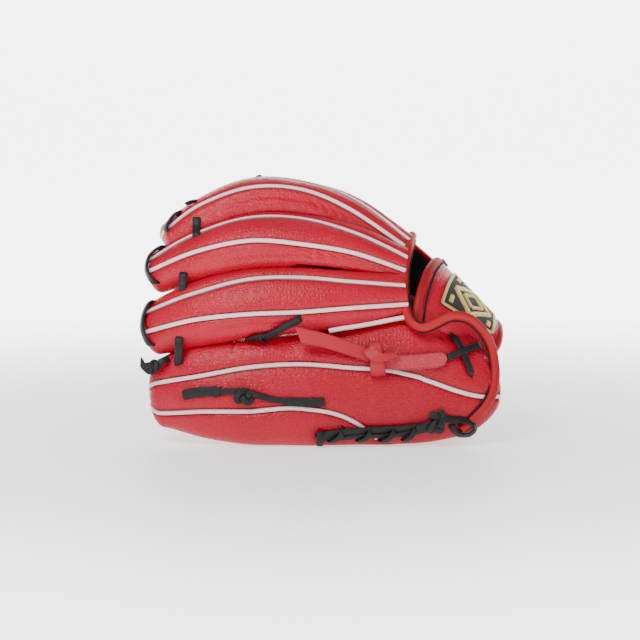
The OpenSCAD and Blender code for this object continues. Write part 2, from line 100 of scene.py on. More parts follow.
def makeStudio():
    aim = Vector(place(studio["aim"]))
    tilt = math.radians(studio["cameraHeight"])
    reach = studio["cameraDistance"] * 0.001
    camera = bpy.data.objects.new("camera", bpy.data.cameras.new("camera"))
    bpy.context.collection.objects.link(camera)
    camera.location = aim + Vector((0, -reach * math.cos(tilt), reach * math.sin(tilt)))
    camera.rotation_euler = (math.radians(90) - tilt, 0, 0)
    camera.data.lens = studio["lens"]
    camera.data.sensor_width = 36
    bpy.context.scene.camera = camera

    bpy.ops.object.select_all(action="DESELECT")
    bpy.ops.mesh.primitive_grid_add(x_subdivisions=4, y_subdivisions=40, size=6, location=(0, 0, 0))
    floor = bpy.context.active_object
    floor.name = "studioFloor"
    for v in floor.data.vertices:  # the far end of the floor curves up into a wall
        far = max(v.co.y - 1.2, 0)
        bend = min(far / 0.9, math.pi / 2)
        if far > 0:
            v.co.z = 0.9 * (1 - math.cos(bend)) + max(far - 0.9 * math.pi / 2, 0)
            v.co.y = 1.2 + 0.9 * math.sin(bend)
    for f in floor.data.polygons:
        f.use_smooth = True
    paint = bpy.data.materials.new("studioPaper")
    paint.use_nodes = True
    shader = paint.node_tree.nodes["Principled BSDF"]
    shader.inputs["Base Color"].default_value = (0.86, 0.86, 0.865, 1)
    shader.inputs["Roughness"].default_value = 0.55
    shader.inputs["Specular IOR Level"].default_value = 0.3
    shader.inputs["Emission Color"].default_value = (1, 1, 1, 1)
    tree = paint.node_tree  # the paper glows by emission, a painted light: dimmer beside the glove and brighter further away
    coords = tree.nodes.new("ShaderNodeTexCoord")
    reachNode = tree.nodes.new("ShaderNodeVectorMath")
    reachNode.operation = "LENGTH"
    tree.links.new(coords.outputs["Object"], reachNode.inputs[0])
    glow = tree.nodes.new("ShaderNodeMapRange")
    glow.interpolation_type = "SMOOTHSTEP"
    for label, number in (("From Min", 0.16), ("From Max", 1.1), ("To Min", studio["paperGlowNear"]),
                          ("To Max", studio["paperGlowFar"])):
        glow.inputs[label].default_value = number
    tree.links.new(reachNode.outputs["Value"], glow.inputs["Value"])
    tree.links.new(glow.outputs["Result"], shader.inputs["Emission Strength"])
    floor.data.materials.append(paint)

    world = bpy.data.worlds.new("studioAir")
    bpy.context.scene.world = world
    world.use_nodes = True
    world.node_tree.nodes["Background"].inputs["Color"].default_value = (1, 1, 1, 1)
    world.node_tree.nodes["Background"].inputs["Strength"].default_value = studio["worldStrength"]
    for name, spot, size, power in [
        ("keyLight", (-0.45, -0.85, 1.15), 0.7, studio["keyPower"]),
        ("fillLight", (0.9, -1.2, 0.7), 1.0, studio["fillPower"]),
        ("backLight", (0.2, 1.2, 1.3), 1.0, studio["fillPower"]),
    ]:
        lamp = bpy.data.objects.new(name, bpy.data.lights.new(name, "AREA"))
        bpy.context.collection.objects.link(lamp)
        lamp.data.size = size
        lamp.data.energy = power
        lamp.location = spot
        lamp.rotation_euler = (Vector((0, 0, 0.09)) - Vector(spot)).to_track_quat("-Z", "Y").to_euler()


makeStudio()
print("studio ready")


# materials
def newGroup(name, inputs, outputs):
    group = bpy.data.node_groups.new(name, "ShaderNodeTree")
    for label, kind, value in inputs:
        socket = group.interface.new_socket(name=label, in_out="INPUT", socket_type=kind)
        if value is not None:
            socket.default_value = value
    for label, kind in outputs:
        group.interface.new_socket(name=label, in_out="OUTPUT", socket_type=kind)
    return group, group.nodes.new("NodeGroupInput"), group.nodes.new("NodeGroupOutput")


def setInputs(node, values):
    for label, value in values.items():
        node.inputs[label].default_value = value


def math2(tree, how, a, b):
    node = tree.nodes.new("ShaderNodeMath")
    node.operation = how
    for slot, value in ((0, a), (1, b)):
        if isinstance(value, (int, float)):
            node.inputs[slot].default_value = value
        else:
            tree.links.new(value, node.inputs[slot])
    return node.outputs[0]


def remap(tree, value, low, high, outLow=0.0, outHigh=1.0):
    node = tree.nodes.new("ShaderNodeMapRange")
    node.interpolation_type = "SMOOTHSTEP"
    setInputs(node, {"From Min": low, "From Max": high, "To Min": outLow, "To Max": outHigh})
    tree.links.new(value, node.inputs["Value"])
    return node.outputs["Result"]


def makePebbleGroup():
    group, take, give = newGroup(
        "pebbleGrain",
        [("Vector", "NodeSocketVector", None), ("Cell Size", "NodeSocketFloat", 620.0),
         ("Creases", "NodeSocketFloat", 0.4)],
        [("Height", "NodeSocketFloat"), ("Groove", "NodeSocketFloat"), ("Tone", "NodeSocketFloat")],
    )
    links = group.links
    wander = group.nodes.new("ShaderNodeTexNoise")
    setInputs(wander, {"Scale": 260, "Detail": 1})
    links.new(take.outputs["Vector"], wander.inputs["Vector"])
    scaled = group.nodes.new("ShaderNodeVectorMath")
    scaled.operation = "SCALE"
    scaled.inputs["Scale"].default_value = 0.0012
    links.new(wander.outputs["Color"], scaled.inputs[0])
    moved = group.nodes.new("ShaderNodeVectorMath")
    links.new(take.outputs["Vector"], moved.inputs[0])
    links.new(scaled.outputs[0], moved.inputs[1])
    cells = group.nodes.new("ShaderNodeTexVoronoi")
    cells.feature = "DISTANCE_TO_EDGE"
    cells.inputs["Randomness"].default_value = 0.75
    links.new(moved.outputs[0], cells.inputs["Vector"])
    links.new(take.outputs["Cell Size"], cells.inputs["Scale"])
    pebble = remap(group, cells.outputs["Distance"], 0.0, 0.42)
    lines = group.nodes.new("ShaderNodeTexNoise")  # long soft handling creases
    setInputs(lines, {"Scale": 85, "Detail": 2, "Roughness": 0.5, "Distortion": 0.8})
    links.new(take.outputs["Vector"], lines.inputs["Vector"])
    crease = math2(group, "MULTIPLY", lines.outputs["Fac"], take.outputs["Creases"])
    links.new(math2(group, "ADD", pebble, crease), give.inputs["Height"])
    links.new(math2(group, "SUBTRACT", 1.0, pebble), give.inputs["Groove"])
    broad = group.nodes.new("ShaderNodeTexNoise")
    setInputs(broad, {"Scale": 14, "Detail": 3})
    links.new(take.outputs["Vector"], broad.inputs["Vector"])
    links.new(remap(group, broad.outputs["Fac"], 0.32, 0.68), give.inputs["Tone"])
    return group


def makeFibreGroup():
    group, take, give = newGroup(
        "splitFibre",
        [("Vector", "NodeSocketVector", None), ("Scale", "NodeSocketFloat", 900.0)],
        [("Height", "NodeSocketFloat"), ("Fleck", "NodeSocketFloat")],
    )
    fuzz = group.nodes.new("ShaderNodeTexNoise")
    setInputs(fuzz, {"Detail": 6, "Roughness": 0.75})
    group.links.new(take.outputs["Vector"], fuzz.inputs["Vector"])
    group.links.new(take.outputs["Scale"], fuzz.inputs["Scale"])
    group.links.new(fuzz.outputs["Fac"], give.inputs["Height"])
    group.links.new(remap(group, fuzz.outputs["Fac"], 0.4, 0.62), give.inputs["Fleck"])
    return group


pebbleGroup = makePebbleGroup()
fibreGroup = makeFibreGroup()


def startMaterial(name):
    material = bpy.data.materials.new(name)
    material.use_nodes = True
    tree = material.node_tree
    shader = tree.nodes["Principled BSDF"]
    coords = tree.nodes.new("ShaderNodeTexCoord")
    return material, tree, shader, coords


def mixColor(tree, factor, a, b):
    node = tree.nodes.new("ShaderNodeMix")
    node.data_type = "RGBA"
    for slot, value in ((0, factor), (6, a), (7, b)):
        if isinstance(value, tuple):
            node.inputs[slot].default_value = (*value, 1)
        elif isinstance(value, (int, float)):
            node.inputs[slot].default_value = value
        else:
            tree.links.new(value, node.inputs[slot])
    return node.outputs[2]


def addBump(tree, shader, height, strength, distance):
    bump = tree.nodes.new("ShaderNodeBump")
    setInputs(bump, {"Strength": strength, "Distance": distance})
    tree.links.new(height, bump.inputs["Height"])
    tree.links.new(bump.outputs["Normal"], shader.inputs["Normal"])


# painted shade mask: reads the seamShade attribute, 1 where a surface is painted fully shaded
def paintedShadeMask(tree):
    seam = tree.nodes.new("ShaderNodeAttribute")
    seam.attribute_name = "seamShade"
    return seam.outputs["Fac"]


def useGroup(tree, coords, group, label, value):
    node = tree.nodes.new("ShaderNodeGroup")
    node.node_tree = group
    node.inputs[label].default_value = value
    tree.links.new(coords.outputs["Object"], node.inputs["Vector"])
    return node


def pebbledLeather(name, light, dark, deep, cell=380.0, bump=0.7, gloss=0.26, depth=0.00034, coat=0.0):
    material, tree, shader, coords = startMaterial(name)
    grain = useGroup(tree, coords, pebbleGroup, "Cell Size", cell)
    color = mixColor(tree, grain.outputs["Tone"], light, dark)
    color = mixColor(tree, math2(tree, "MULTIPLY", grain.outputs["Groove"], 0.12), color, deep)
    # painted shade: darkened towards the deep colour where the seamShade attribute is set
    color = mixColor(tree, paintedShadeMask(tree), color, deep)
    tree.links.new(color, shader.inputs["Base Color"])
    rough = remap(tree, grain.outputs["Groove"], 0.0, 1.0, gloss, gloss + 0.16)
    tree.links.new(rough, shader.inputs["Roughness"])
    shader.inputs["Specular IOR Level"].default_value = 0.34
    shader.inputs["Coat Weight"].default_value = coat
    addBump(tree, shader, grain.outputs["Height"], bump, depth)
    return material


def splitLeather(name, light, dark, roughness=0.85, scale=900.0, bump=0.5, sheen=0.3):
    material, tree, shader, coords = startMaterial(name)
    fibre = useGroup(tree, coords, fibreGroup, "Scale", scale)
    color = mixColor(tree, fibre.outputs["Fleck"], dark, light)
    # painted shade: darkened to a third of the dark colour where the seamShade attribute is set, along welt
    # edges and on inner faces
    color = mixColor(tree, paintedShadeMask(tree), color, tuple(c * 0.35 for c in dark))
    tree.links.new(color, shader.inputs["Base Color"])
    shader.inputs["Roughness"].default_value = roughness
    shader.inputs["Sheen Weight"].default_value = sheen
    shader.inputs["Specular IOR Level"].default_value = 0.3
    addBump(tree, shader, fibre.outputs["Height"], bump, 0.0003)
    return material


def laceLeather(name, light, dark, edge, roughness=0.5):
    material, tree, shader, coords = startMaterial(name)
    mapping = tree.nodes.new("ShaderNodeMapping")
    mapping.inputs["Scale"].default_value = (1.0, 5.0, 1.0)
    tree.links.new(coords.outputs["UV"], mapping.inputs["Vector"])
    streak = tree.nodes.new("ShaderNodeTexNoise")
    setInputs(streak, {"Scale": 9, "Detail": 6, "Roughness": 0.65})
    tree.links.new(mapping.outputs[0], streak.inputs["Vector"])
    fibre = useGroup(tree, coords, fibreGroup, "Scale", 1300)
    color = mixColor(tree, remap(tree, streak.outputs["Fac"], 0.35, 0.7), dark, light)
    # painted shade: the lace darkens to the edge colour on its flanks, where the seamShade attribute is set
    color = mixColor(tree, paintedShadeMask(tree), color, edge)
    tree.links.new(color, shader.inputs["Base Color"])
    tree.links.new(remap(tree, streak.outputs["Fac"], 0.3, 0.7, roughness - 0.1, roughness + 0.14),
                   shader.inputs["Roughness"])
    shader.inputs["Specular IOR Level"].default_value = 0.3
    height = math2(tree, "ADD", streak.outputs["Fac"],
                   math2(tree, "MULTIPLY", fibre.outputs["Height"], 0.35))
    addBump(tree, shader, height, 0.35, 0.0004)
    return material


def threadMaterial(name, light, dark, pitch, roughness, metallic):
    material, tree, shader, coords = startMaterial(name)
    wave = tree.nodes.new("ShaderNodeTexWave")
    wave.wave_type = "BANDS"
    wave.bands_direction = "X"
    setInputs(wave, {"Scale": pitch, "Distortion": 1.2, "Detail": 2, "Detail Scale": 3})
    tree.links.new(coords.outputs["UV"], wave.inputs["Vector"])
    tree.links.new(mixColor(tree, wave.outputs["Fac"], dark, light), shader.inputs["Base Color"])
    shader.inputs["Roughness"].default_value = roughness
    shader.inputs["Metallic"].default_value = metallic
    shader.inputs["Sheen Weight"].default_value = 0.2
    addBump(tree, shader, wave.outputs["Fac"], 0.6, 0.0003)
    return material


# each pebbled leather's third colour is its painted shade, used in seam valleys, on inner faces and along roll
# flanks; it also darkens the grain's grooves slightly
paints = {
    "shell": pebbledLeather("redShellLeather", (0.50, 0.0, 0.024), (0.43, 0.0, 0.017), (0.21, 0.0, 0.006)),
    "palm": pebbledLeather("redPalmLeather", (0.50, 0.003, 0.022), (0.42, 0.002, 0.016),
                           (0.20, 0.001, 0.005), bump=0.5),
    "binding": pebbledLeather("redBindingLeather", (0.46, 0.002, 0.010), (0.39, 0.002, 0.008),
                              (0.14, 0.001, 0.002),
                              cell=900.0, bump=0.25, gloss=0.45),
    "welt": splitLeather("paleWelt", (0.97, 0.74, 0.74), (0.86, 0.58, 0.59), sheen=0.1),
    "suede": splitLeather("redSuede", (0.56, 0.050, 0.075), (0.40, 0.018, 0.035)),
    "strap": pebbledLeather("redStrapLeather", (0.50, 0.012, 0.030), (0.45, 0.010, 0.026),
                            (0.28, 0.005, 0.012),
                            cell=1100.0, bump=0.12, gloss=0.5, coat=0.05),
    "lace": laceLeather("blackRawhide", (0.016, 0.017, 0.019), (0.006, 0.0065, 0.008),
                        (0.003, 0.003, 0.0035)),
    "lining": splitLeather("blackLining", (0.010, 0.010, 0.011), (0.005, 0.005, 0.006), roughness=0.8,
                           scale=600.0, sheen=0.05),
    "felt": splitLeather("creamFelt", (0.72, 0.66, 0.55), (0.55, 0.49, 0.40), roughness=0.95, scale=500.0),
    "cloth": threadMaterial("blackPatchCloth", (0.014, 0.014, 0.015), (0.005, 0.005, 0.006), 60.0, 0.85,
                            0.0),
    "gold": threadMaterial("goldThread", (0.88, 0.64, 0.20), (0.46, 0.27, 0.04), 26.0, 0.34, 0.4),
}
print("materials ready")


# mesh helpers
def gridNormals(grid):
    return unit(np.cross(np.gradient(grid, axis=0), np.gradient(grid, axis=1)))


def newPiece(name, vertices, faces, paint, uvs=None, shade=None, body=None, replaced=()):
    mesh = bpy.data.meshes.new(name)
    mesh.from_pydata(place(vertices).tolist(), [], faces)
    mesh.validate()
    piece = bpy.data.objects.new(name, mesh)
    bpy.context.collection.objects.link(piece)
    mesh.shade_smooth()
    mesh.set_sharp_from_angle(angle=math.radians(60))
    if uvs is not None:
        layer = mesh.uv_layers.new(name="surface")
        corners = np.zeros(len(mesh.loops), dtype=np.int32)
        mesh.loops.foreach_get("vertex_index", corners)
        layer.data.foreach_set("uv", np.asarray(uvs, np.float32)[corners].ravel())
    if shade is not None:
        attribute = mesh.attributes.new("seamShade", "FLOAT", "POINT")
        attribute.data.foreach_set("value", np.asarray(shade, np.float32))
    mesh.materials.append(paints[paint])
    finishPiece(piece, body, replaced)
    return piece


def finishPiece(piece, body, replaced):
    if body == "both":  # spans the fold: its transform is baked in and it is attached to neither body
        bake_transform(piece)
    elif body:
        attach(piece, body)
    if replaced:
        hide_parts(*replaced)
    madePieces.append(piece.name)


def shellFaces(r, c, base):
    index = np.arange(r * c).reshape(r, c) + base
    a, b, d, e = index[:-1, :-1], index[:-1, 1:], index[1:, 1:], index[1:, :-1]
    return np.stack([a, b, d, e], -1).reshape(-1, 4)


def closedShell(outer, inner):
    r, c = outer.shape[:2]
    n = r * c
    top = shellFaces(r, c, 0)
    bottom = shellFaces(r, c, n)[:, ::-1]
    around = np.concatenate([np.arange(c - 1), np.arange(r - 1) * c + c - 1,
                             (r - 1) * c + np.arange(c - 1, 0, -1), np.arange(r - 1, 0, -1) * c])
    after = np.roll(around, -1)
    rim = np.stack([after, around, n + around, n + after], -1)
    faces = np.concatenate([top, bottom, rim])
    vertices = np.concatenate([outer.reshape(-1, 3), inner.reshape(-1, 3)])
    p = vertices[faces]
    volume = np.einsum("ij,ij->i", p[:, 0], np.cross(p[:, 1], p[:, 2])).sum() + \
        np.einsum("ij,ij->i", p[:, 0], np.cross(p[:, 2], p[:, 3])).sum()
    if volume < 0:
        faces = faces[:, ::-1]
    return vertices, faces.tolist()


def joinShells(parts):
    vertices, faces, start = [], [], 0
    for v, f in parts:
        vertices.append(v)
        faces += [[i + start for i in face] for face in f]
        start += len(v)
    return np.concatenate(vertices), faces


def gridUv(grid):
    across = np.concatenate([np.zeros((len(grid), 1)),
                             np.cumsum(np.linalg.norm(np.diff(grid, axis=1), axis=2), axis=1)], 1)
    down = np.concatenate([[0],
                           np.cumsum(np.linalg.norm(np.diff(grid[:, grid.shape[1] // 2], axis=0), axis=1))])
    uv = np.stack([np.repeat(down[:, None], grid.shape[1], 1), across], -1).reshape(-1, 2) / 100
    return np.concatenate([uv, uv])


# the stalls
def makeStall(line, tip, start, crotch, upper, lower):
    return {"line": np.array(line, float), "tip": tip, "start": start, "crotch": crotch, "upper": upper,
            "lower": lower,
            "rings": ringsPerSpan * (len(line) - 1)}


# each centre line runs from wrist to tip: x, y, z, half width, height of the back, depth of the palm side,
# turn of the back above the horizon; then tip, start, crotch ring and the two welts' angles
stalls = {
    "index": makeStall([(64, 65, 147, 15, 13, 10, 66), (21, 66, 171, 22, 18, 11, 70),
                        (-18, 67, 182, 25, 20, 13, 76),
                        (-56, 67, 183, 26, 21, 14, 76), (-92, 64, 170, 23, 19, 13, 76),
                        (-117, 61, 155, 19, 16, 12, 76)],
                       10, 0, 6, [92, 84, 74, 62, 56, 52], [128, 123, 114, 114, 103, 102]),
    "middle": makeStall([(62, 42, 136, 16, 13, 10, 48), (21, 34, 149, 22, 17, 11, 50),
                         (-18, 33, 155, 26, 19, 12, 54),
                         (-56, 33, 154, 27, 20, 13, 54), (-95, 36, 144, 24, 18, 12, 54),
                         (-128, 42, 131, 19, 15, 11, 54)],
                        9, 0, 6, [91, 82, 72, 69, 70, 82], [136, 130, 131, 121, 114, 115]),
    "ring": makeStall([(62, 24, 114, 18, 13, 10, 30), (21, 14, 113, 23, 16, 10, 28),
                       (-18, 11, 112, 27, 18, 12, 28),
                       (-56, 11, 110, 28, 19, 12, 28), (-95, 14, 101, 26, 18, 11, 28),
                       (-130, 22, 89, 21, 14, 10, 28)],
                      10, 0, 6, [81, 72, 65, 66, 67, 61], [127, 121, 122, 120, 109, 102]),
    "pinky": makeStall([(118, 18, 62, 34, 12, 10, 20), (98, 9, 53, 46, 14, 10, 16),
                        (59, 7, 49, 48, 16, 10, 12),
                        (21, 4, 47, 46, 17, 10, 12), (-18, 3, 44, 43, 19, 12, 12),
                        (-56, 3, 43, 41, 20, 12, 12),
                        (-95, 7, 43, 36, 18, 11, 10), (-123, 13, 40, 27, 14, 10, 8)],
                       12, 10, 12, [164, 104, 85, 78, 69, 70, 78, 76],
                       [202, 198, 186, 126, 108, 111, 115, 122]),
    "thumb": makeStall([(98, 136, 45, 42, 15, 8, 176), (60, 140, 47.7, 46, 18, 10, 176),
                        (20, 140, 53, 46, 20, 12, 175),
                        (-20, 136, 62, 43, 20, 12, 172), (-65, 128, 80, 36, 18, 11, 168),
                        (-98, 116, 100, 27, 15, 10, 164)],
                       12, 14, 9, [60, 60], [120, 120]),
    "base": makeStall([(88, 112, 114, 24, 10, 8, 136), (60, 112, 127, 36, 12, 8, 138),
                       (26, 120, 146, 42, 13, 8, 146),
                       (-8, 118, 154, 29, 12, 8, 147)], 10, 0, 99, [90, 90], [90, 90]),
}
stallOrder = ["index", "middle", "ring", "pinky", "thumb"]
palmArches = np.array([
    [(-20, 4, 6), (-20, 14, 46), (-20, 23, 104), (-20, 42, 146), (-20, 84, 172), (-20, 112, 148),
     (-20, 124, 104),
     (-20, 124, 60), (-20, 129, 24)],
    [(22, 4, 3), (22, 24, 44), (22, 35, 88), (22, 56, 120), (22, 87, 136), (22, 110, 118), (22, 124, 82),
     (22, 128, 44), (22, 134, 11)],
    [(60, 5, 3), (60, 34, 36), (60, 48, 68), (60, 64, 94), (60, 85, 104), (60, 104, 90), (60, 120, 62),
     (60, 128, 34), (60, 134, 6)],
    [(95, 5, 10), (95, 36, 36), (95, 50, 58), (95, 64, 76), (95, 83, 85), (95, 100, 74), (95, 114, 52),
     (95, 124, 30), (95, 131, 6)],
    [(118, 16, 28), (118, 38, 40), (118, 50, 54), (118, 64, 68), (118, 82, 76), (118, 98, 68),
     (118, 110, 52),
     (118, 120, 34), (118, 128, 14)],
], float)
webArches = np.array([[(-30, 99, 174), (-32, 122, 150), (-32, 131, 122)],
                      [(-68, 99, 182), (-70, 122, 158), (-70, 127, 128)],
                      [(-103, 96, 176), (-110, 112, 156), (-108, 116, 136)]], float)
backArches = np.array([[(-6, 6, 88), (-6, 18, 117), (-6, 28, 134), (-6, 50, 165), (-6, 84, 182)],
                       [(26, 8, 91), (26, 21, 118), (26, 29, 132), (26, 51, 158), (26, 83, 172)],
                       [(60, 19, 97), (60, 29, 117), (60, 33, 124), (60, 52, 140), (60, 76, 150)]], float)
strapFront = [(72, 12, 92), (75, 16, 112), (82, 34, 130), (90, 58, 138), (94, 78, 135)]
strapRear = [(128, 22, 66), (136, 28, 76), (139, 42, 84), (139, 60, 88), (137, 78, 86)]


def stallFrame(stall, ring):
    u = np.clip(np.asarray(ring, float) / stall["rings"], 0, 1)
    row = along(stall["line"], u)
    ahead = along(stall["line"], np.minimum(u + 0.01, 1))[..., :3]
    behind = along(stall["line"], np.maximum(u - 0.01, 0))[..., :3]
    way = unit(ahead - behind)
    turn = np.radians(row[..., 6])
    out = np.stack([0 * turn, -np.cos(turn), np.sin(turn)], -1)
    out = unit(out - (out * way).sum(-1, keepdims=True) * way)
    return row, way, np.cross(way, out), out


def skin(stall, ring, angle, lift=0.0):
    ring, angle, lift = np.broadcast_arrays(np.asarray(ring, float), np.asarray(angle, float),
                                            np.asarray(lift, float))
    row, way, side, out = stallFrame(stall, ring)
    n = stall["rings"]
    over = np.maximum(np.maximum(ring - n, -ring), 0) / capRings
    turn = np.radians(89 * np.minimum(over, 1))
    if stall["start"] == 0:
        turn = np.where(ring < 0, 0, turn)
    shrink = np.cos(turn) ** 0.8
    reach = np.where(ring > n, stall["tip"] + lift,
                     np.where(ring < 0, -(stall["start"] + lift), 0)) * np.sin(turn)
    a = np.radians(angle)
    height = np.where(np.sin(a) >= 0, row[..., 4], row[..., 5])
    x = (row[..., 3] + lift) * shrink * signedPower(np.cos(a), 2 / roundness)
    y = (height + lift) * shrink * signedPower(np.sin(a), 2 / roundness)
    return row[..., :3] + way * reach[..., None] + side * x[..., None] + out * y[..., None]


def insideStall(stall, points):
    line = stall["line"][:, :3]
    u = np.interp(-points[..., 0], -line[:, 0], np.linspace(0, 1, len(line)))
    for _ in range(3):
        row, way, side, out = stallFrame(stall, u * stall["rings"])
        step = ((points - row[..., :3]) * way).sum(-1)
        ahead = along(line, np.minimum(u + 0.01, 1)) - along(line, np.maximum(u - 0.01, 0))
        length = np.linalg.norm(ahead, axis=-1) / 0.02
        u = u + step / length
    beyond = (u < 0) | (u > 1)
    row, way, side, out = stallFrame(stall, np.clip(u, 0, 1) * stall["rings"])
    d = points - row[..., :3]
    x, y = (d * side).sum(-1), (d * out).sum(-1)
    height = np.where(y >= 0, row[..., 4], row[..., 5])
    within = np.abs(x / row[..., 3]) ** roundness + np.abs(y / height) ** roundness < 1
    return within & ~beyond


def weltAngle(stall, ring, which):
    return along(np.array(stall[which], float)[:, None],
                 np.clip(np.asarray(ring, float) / stall["rings"], 0, 1))[..., 0]


def meetNeighbour(stall, rings, start, stop, neighbour):
    limit = np.array(stop, float) + np.zeros(len(rings))
    steps = np.linspace(0, 1, 90)
    angles = start[:, None] + (limit - start)[:, None] * steps[None]
    inside = insideStall(neighbour, skin(stall, rings[:, None], angles))
    for i in range(len(rings)):
        hits = np.nonzero(inside[i])[0]
        if len(hits):
            k = min(hits[0] + 4, 89)  # a little way under the neighbour, so the valley closes
            limit[i] = angles[i, k]
    return limit


def wrapAngle(stall, ring):
    return 34 * ease((np.asarray(ring, float) - stall["crotch"]) / 2)


# places where leather is pressed in: creases along a line and dimples round a lace hole
pressLines = []
pressPoints = []


def addCrease(stall, points, depth, width):
    rows = np.array(points, float)
    path = along(rows, np.linspace(0, 1, 14))
    pressLines.append((skin(stalls[stall], path[:, 0], path[:, 1]), depth, width))


def pressed(points):
    down = np.zeros(points.shape[:-1])
    for path, depth, width in pressLines:
        low, high = path.min(0) - 3 * width, path.max(0) + 3 * width
        near = ((points > low) & (points < high)).all(-1)
        if not near.any():
            continue
        p = points[near]
        a, b = path[:-1], path[1:]
        ab = b - a
        t = np.clip(((p[:, None] - a) * ab).sum(-1) / (ab * ab).sum(-1), 0, 1)
        d = np.linalg.norm(p[:, None] - a - t[..., None] * ab, axis=-1)
        k = d.argmin(1)
        where = (k + t[np.arange(len(k)), k]) / len(a)
        fade = np.sin(np.pi * np.clip(where, 0.02, 0.98)) ** 0.6
        down[near] += depth * fade * np.exp(-(d.min(1) / width) ** 2)
    for spot, depth, width in pressPoints:
        d = np.linalg.norm(points - spot, axis=-1)
        down += depth * np.exp(-(d / width) ** 2)
    return down


def lumps(points, size, height, seed=0.0):
    flat = points.reshape(-1, 3)
    values = [noise.noise(Vector((p[0] / size + seed, p[1] / size, p[2] / size))) for p in flat]
    return height * np.array(values).reshape(points.shape[:-1])


panelLook = {
    "step": 1.7,
    "thickness": 2.8,
    "puff": 0.9,
    "puffReach": 9.0,
    "seamDip": 1.3,
    "seamReach": 1.5,
    "lump": 0.55,
}


def panelShell(stall, rings, low, high, seamLow, seamHigh, across, puff=None, seed=0.0):
    t = np.linspace(0, 1, across)
    angles = low[:, None] + (high - low)[:, None] * t[None]
    grid = skin(stall, rings[:, None], angles)
    normals = gridNormals(grid)
    middle = grid.shape[0] // 2, grid.shape[1] // 2
    centre = stallFrame(stall, rings[middle[0]])[0][:3]
    if np.dot(normals[middle], grid[middle] - centre) < 0:
        normals = -normals
    gaps = np.linalg.norm(np.diff(grid, axis=1), axis=2)
    fromLow = np.concatenate([np.zeros((len(grid), 1)), np.cumsum(gaps, 1)], 1)
    fromHigh = fromLow[:, -1:] - fromLow
    lift = lumps(grid, 26.0, panelLook["lump"], seed)
    shade = np.zeros(lift.shape)
    for distance, seam in ((fromLow, seamLow), (fromHigh, seamHigh)):
        if seam:
            lift -= panelLook["seamDip"] * np.exp(-distance / panelLook["seamReach"])
            # painted shade: the leather is darkened in the seam valley next to each welt
            shade = np.maximum(shade, 0.75 * np.exp(-distance / 1.2))
    edge = np.minimum(fromLow, fromHigh)
    tipFade = ease((stall["rings"] + 2.2 - rings) / 2.5)[:, None]
    fullness = panelLook["puff"] if puff is None else puff
    lift += fullness * (1 - np.exp(-edge / panelLook["puffReach"])) * tipFade
    lift -= pressed(grid)
    outer = grid + normals * lift[..., None]
    inner = outer - normals * panelLook["thickness"] * np.clip(0.35 + 0.65 * tipFade, 0, 1)[..., None]
    return outer, inner, shade


def ringSteps(stall, first, last):
    spans = np.linalg.norm(np.diff(stall["line"][:, :3], axis=0), axis=1).mean() / ringsPerSpan
    return np.linspace(first, last, int((last - first) * spans / panelLook["step"]) + 2)


weltLook = {
    "halfWidth": 1.75,
    "halfSlot": 1.72,
    "rise": 0.45,
    "depth": 2.0,
    "pinkyFrom": (-0.2, 7.6),  # where the little finger's two welts start
}


def halfWelt(stall, rings, angle):
    inner = np.clip(rings, 0, stall["rings"])
    perDegree = np.linalg.norm(skin(stall, inner, angle + 1) - skin(stall, inner, angle - 1), axis=-1) / 2
    return weltLook["halfSlot"] / perDegree


def makeBack(name):
    stall = stalls[name]
    body = thumbSide if name == "thumb" else fingerSide
    number = stallOrder.index(name)
    first = -2.9 if stall["start"] else 0.0
    rings = ringSteps(stall, first, stall["rings"] + 2.96)
    upper, lower = weltAngle(stall, rings, "upper"), weltAngle(stall, rings, "lower")
    halfUpper, halfLower = halfWelt(stall, rings, upper), halfWelt(stall, rings, lower)
    if name == "pinky":  # these welts run out before the heel
        upperFrom, lowerFrom = weltLook["pinkyFrom"]
        halfUpper = np.where(rings < upperFrom, 0.0, halfUpper)
        halfLower = np.where(rings < lowerFrom, 0.0, halfLower)
    wrap = wrapAngle(stall, rings)
    top = -wrap + 1
    bottom = 179 + (np.maximum(wrap, 16) if name in ("pinky", "thumb") else wrap)
    if 0 < number < 4:
        top = meetNeighbour(stall, rings, upper - halfUpper, top, stalls[stallOrder[number - 1]])
    if number < 3:
        bottom = meetNeighbour(stall, rings, lower + halfLower, bottom, stalls[stallOrder[number + 1]])
    bottom = np.maximum(bottom, lower + 26)
    for part, low, high, seams, count, node in [
        ("UpperPanel", top, upper - halfUpper, (False, True), 26, "_upper_panel"),
        ("CenterPanel", upper + halfUpper, lower - halfLower, (True, True), 30, "_center_panel"),
        ("LowerPanel", lower + halfLower, bottom, (True, False), 26, "_lower_panel"),
    ]:
        high = np.maximum(high, low + 0.6)
        outer, inner, shade = panelShell(stall, rings, low, high, *seams, count,
                                         seed=number * 7.3 + len(part))
        vertices, faces = closedShell(outer, inner)
        # painted shade: the inner faces of each panel are marked fully shaded
        newPiece(name + part, vertices, faces, "shell", gridUv(outer),
                 np.concatenate([shade.ravel(), np.ones(shade.size)]),
                 body, (name + node,))
    makeWelts(name, rings, [upper, lower], body)




def weltShell(path, normals):
    way = unit(np.gradient(path, axis=0))
    side = unit(np.cross(normals, way))
    across = np.array([-1, -0.93, -0.75, -0.4, 0, 0.4, 0.75, 0.93, 1])
    height = weltLook["rise"] - 1.0 * np.abs(across) ** 6
    outer = path[:, None] + side[:, None] * (across * weltLook["halfWidth"])[None, :, None] + \
        normals[:, None] * height[None, :, None]
    inner = path[:, None] + side[:, None] * (across * weltLook["halfWidth"] * 0.9)[None, :, None] - \
        normals[:, None] * weltLook["depth"]
    return outer, inner


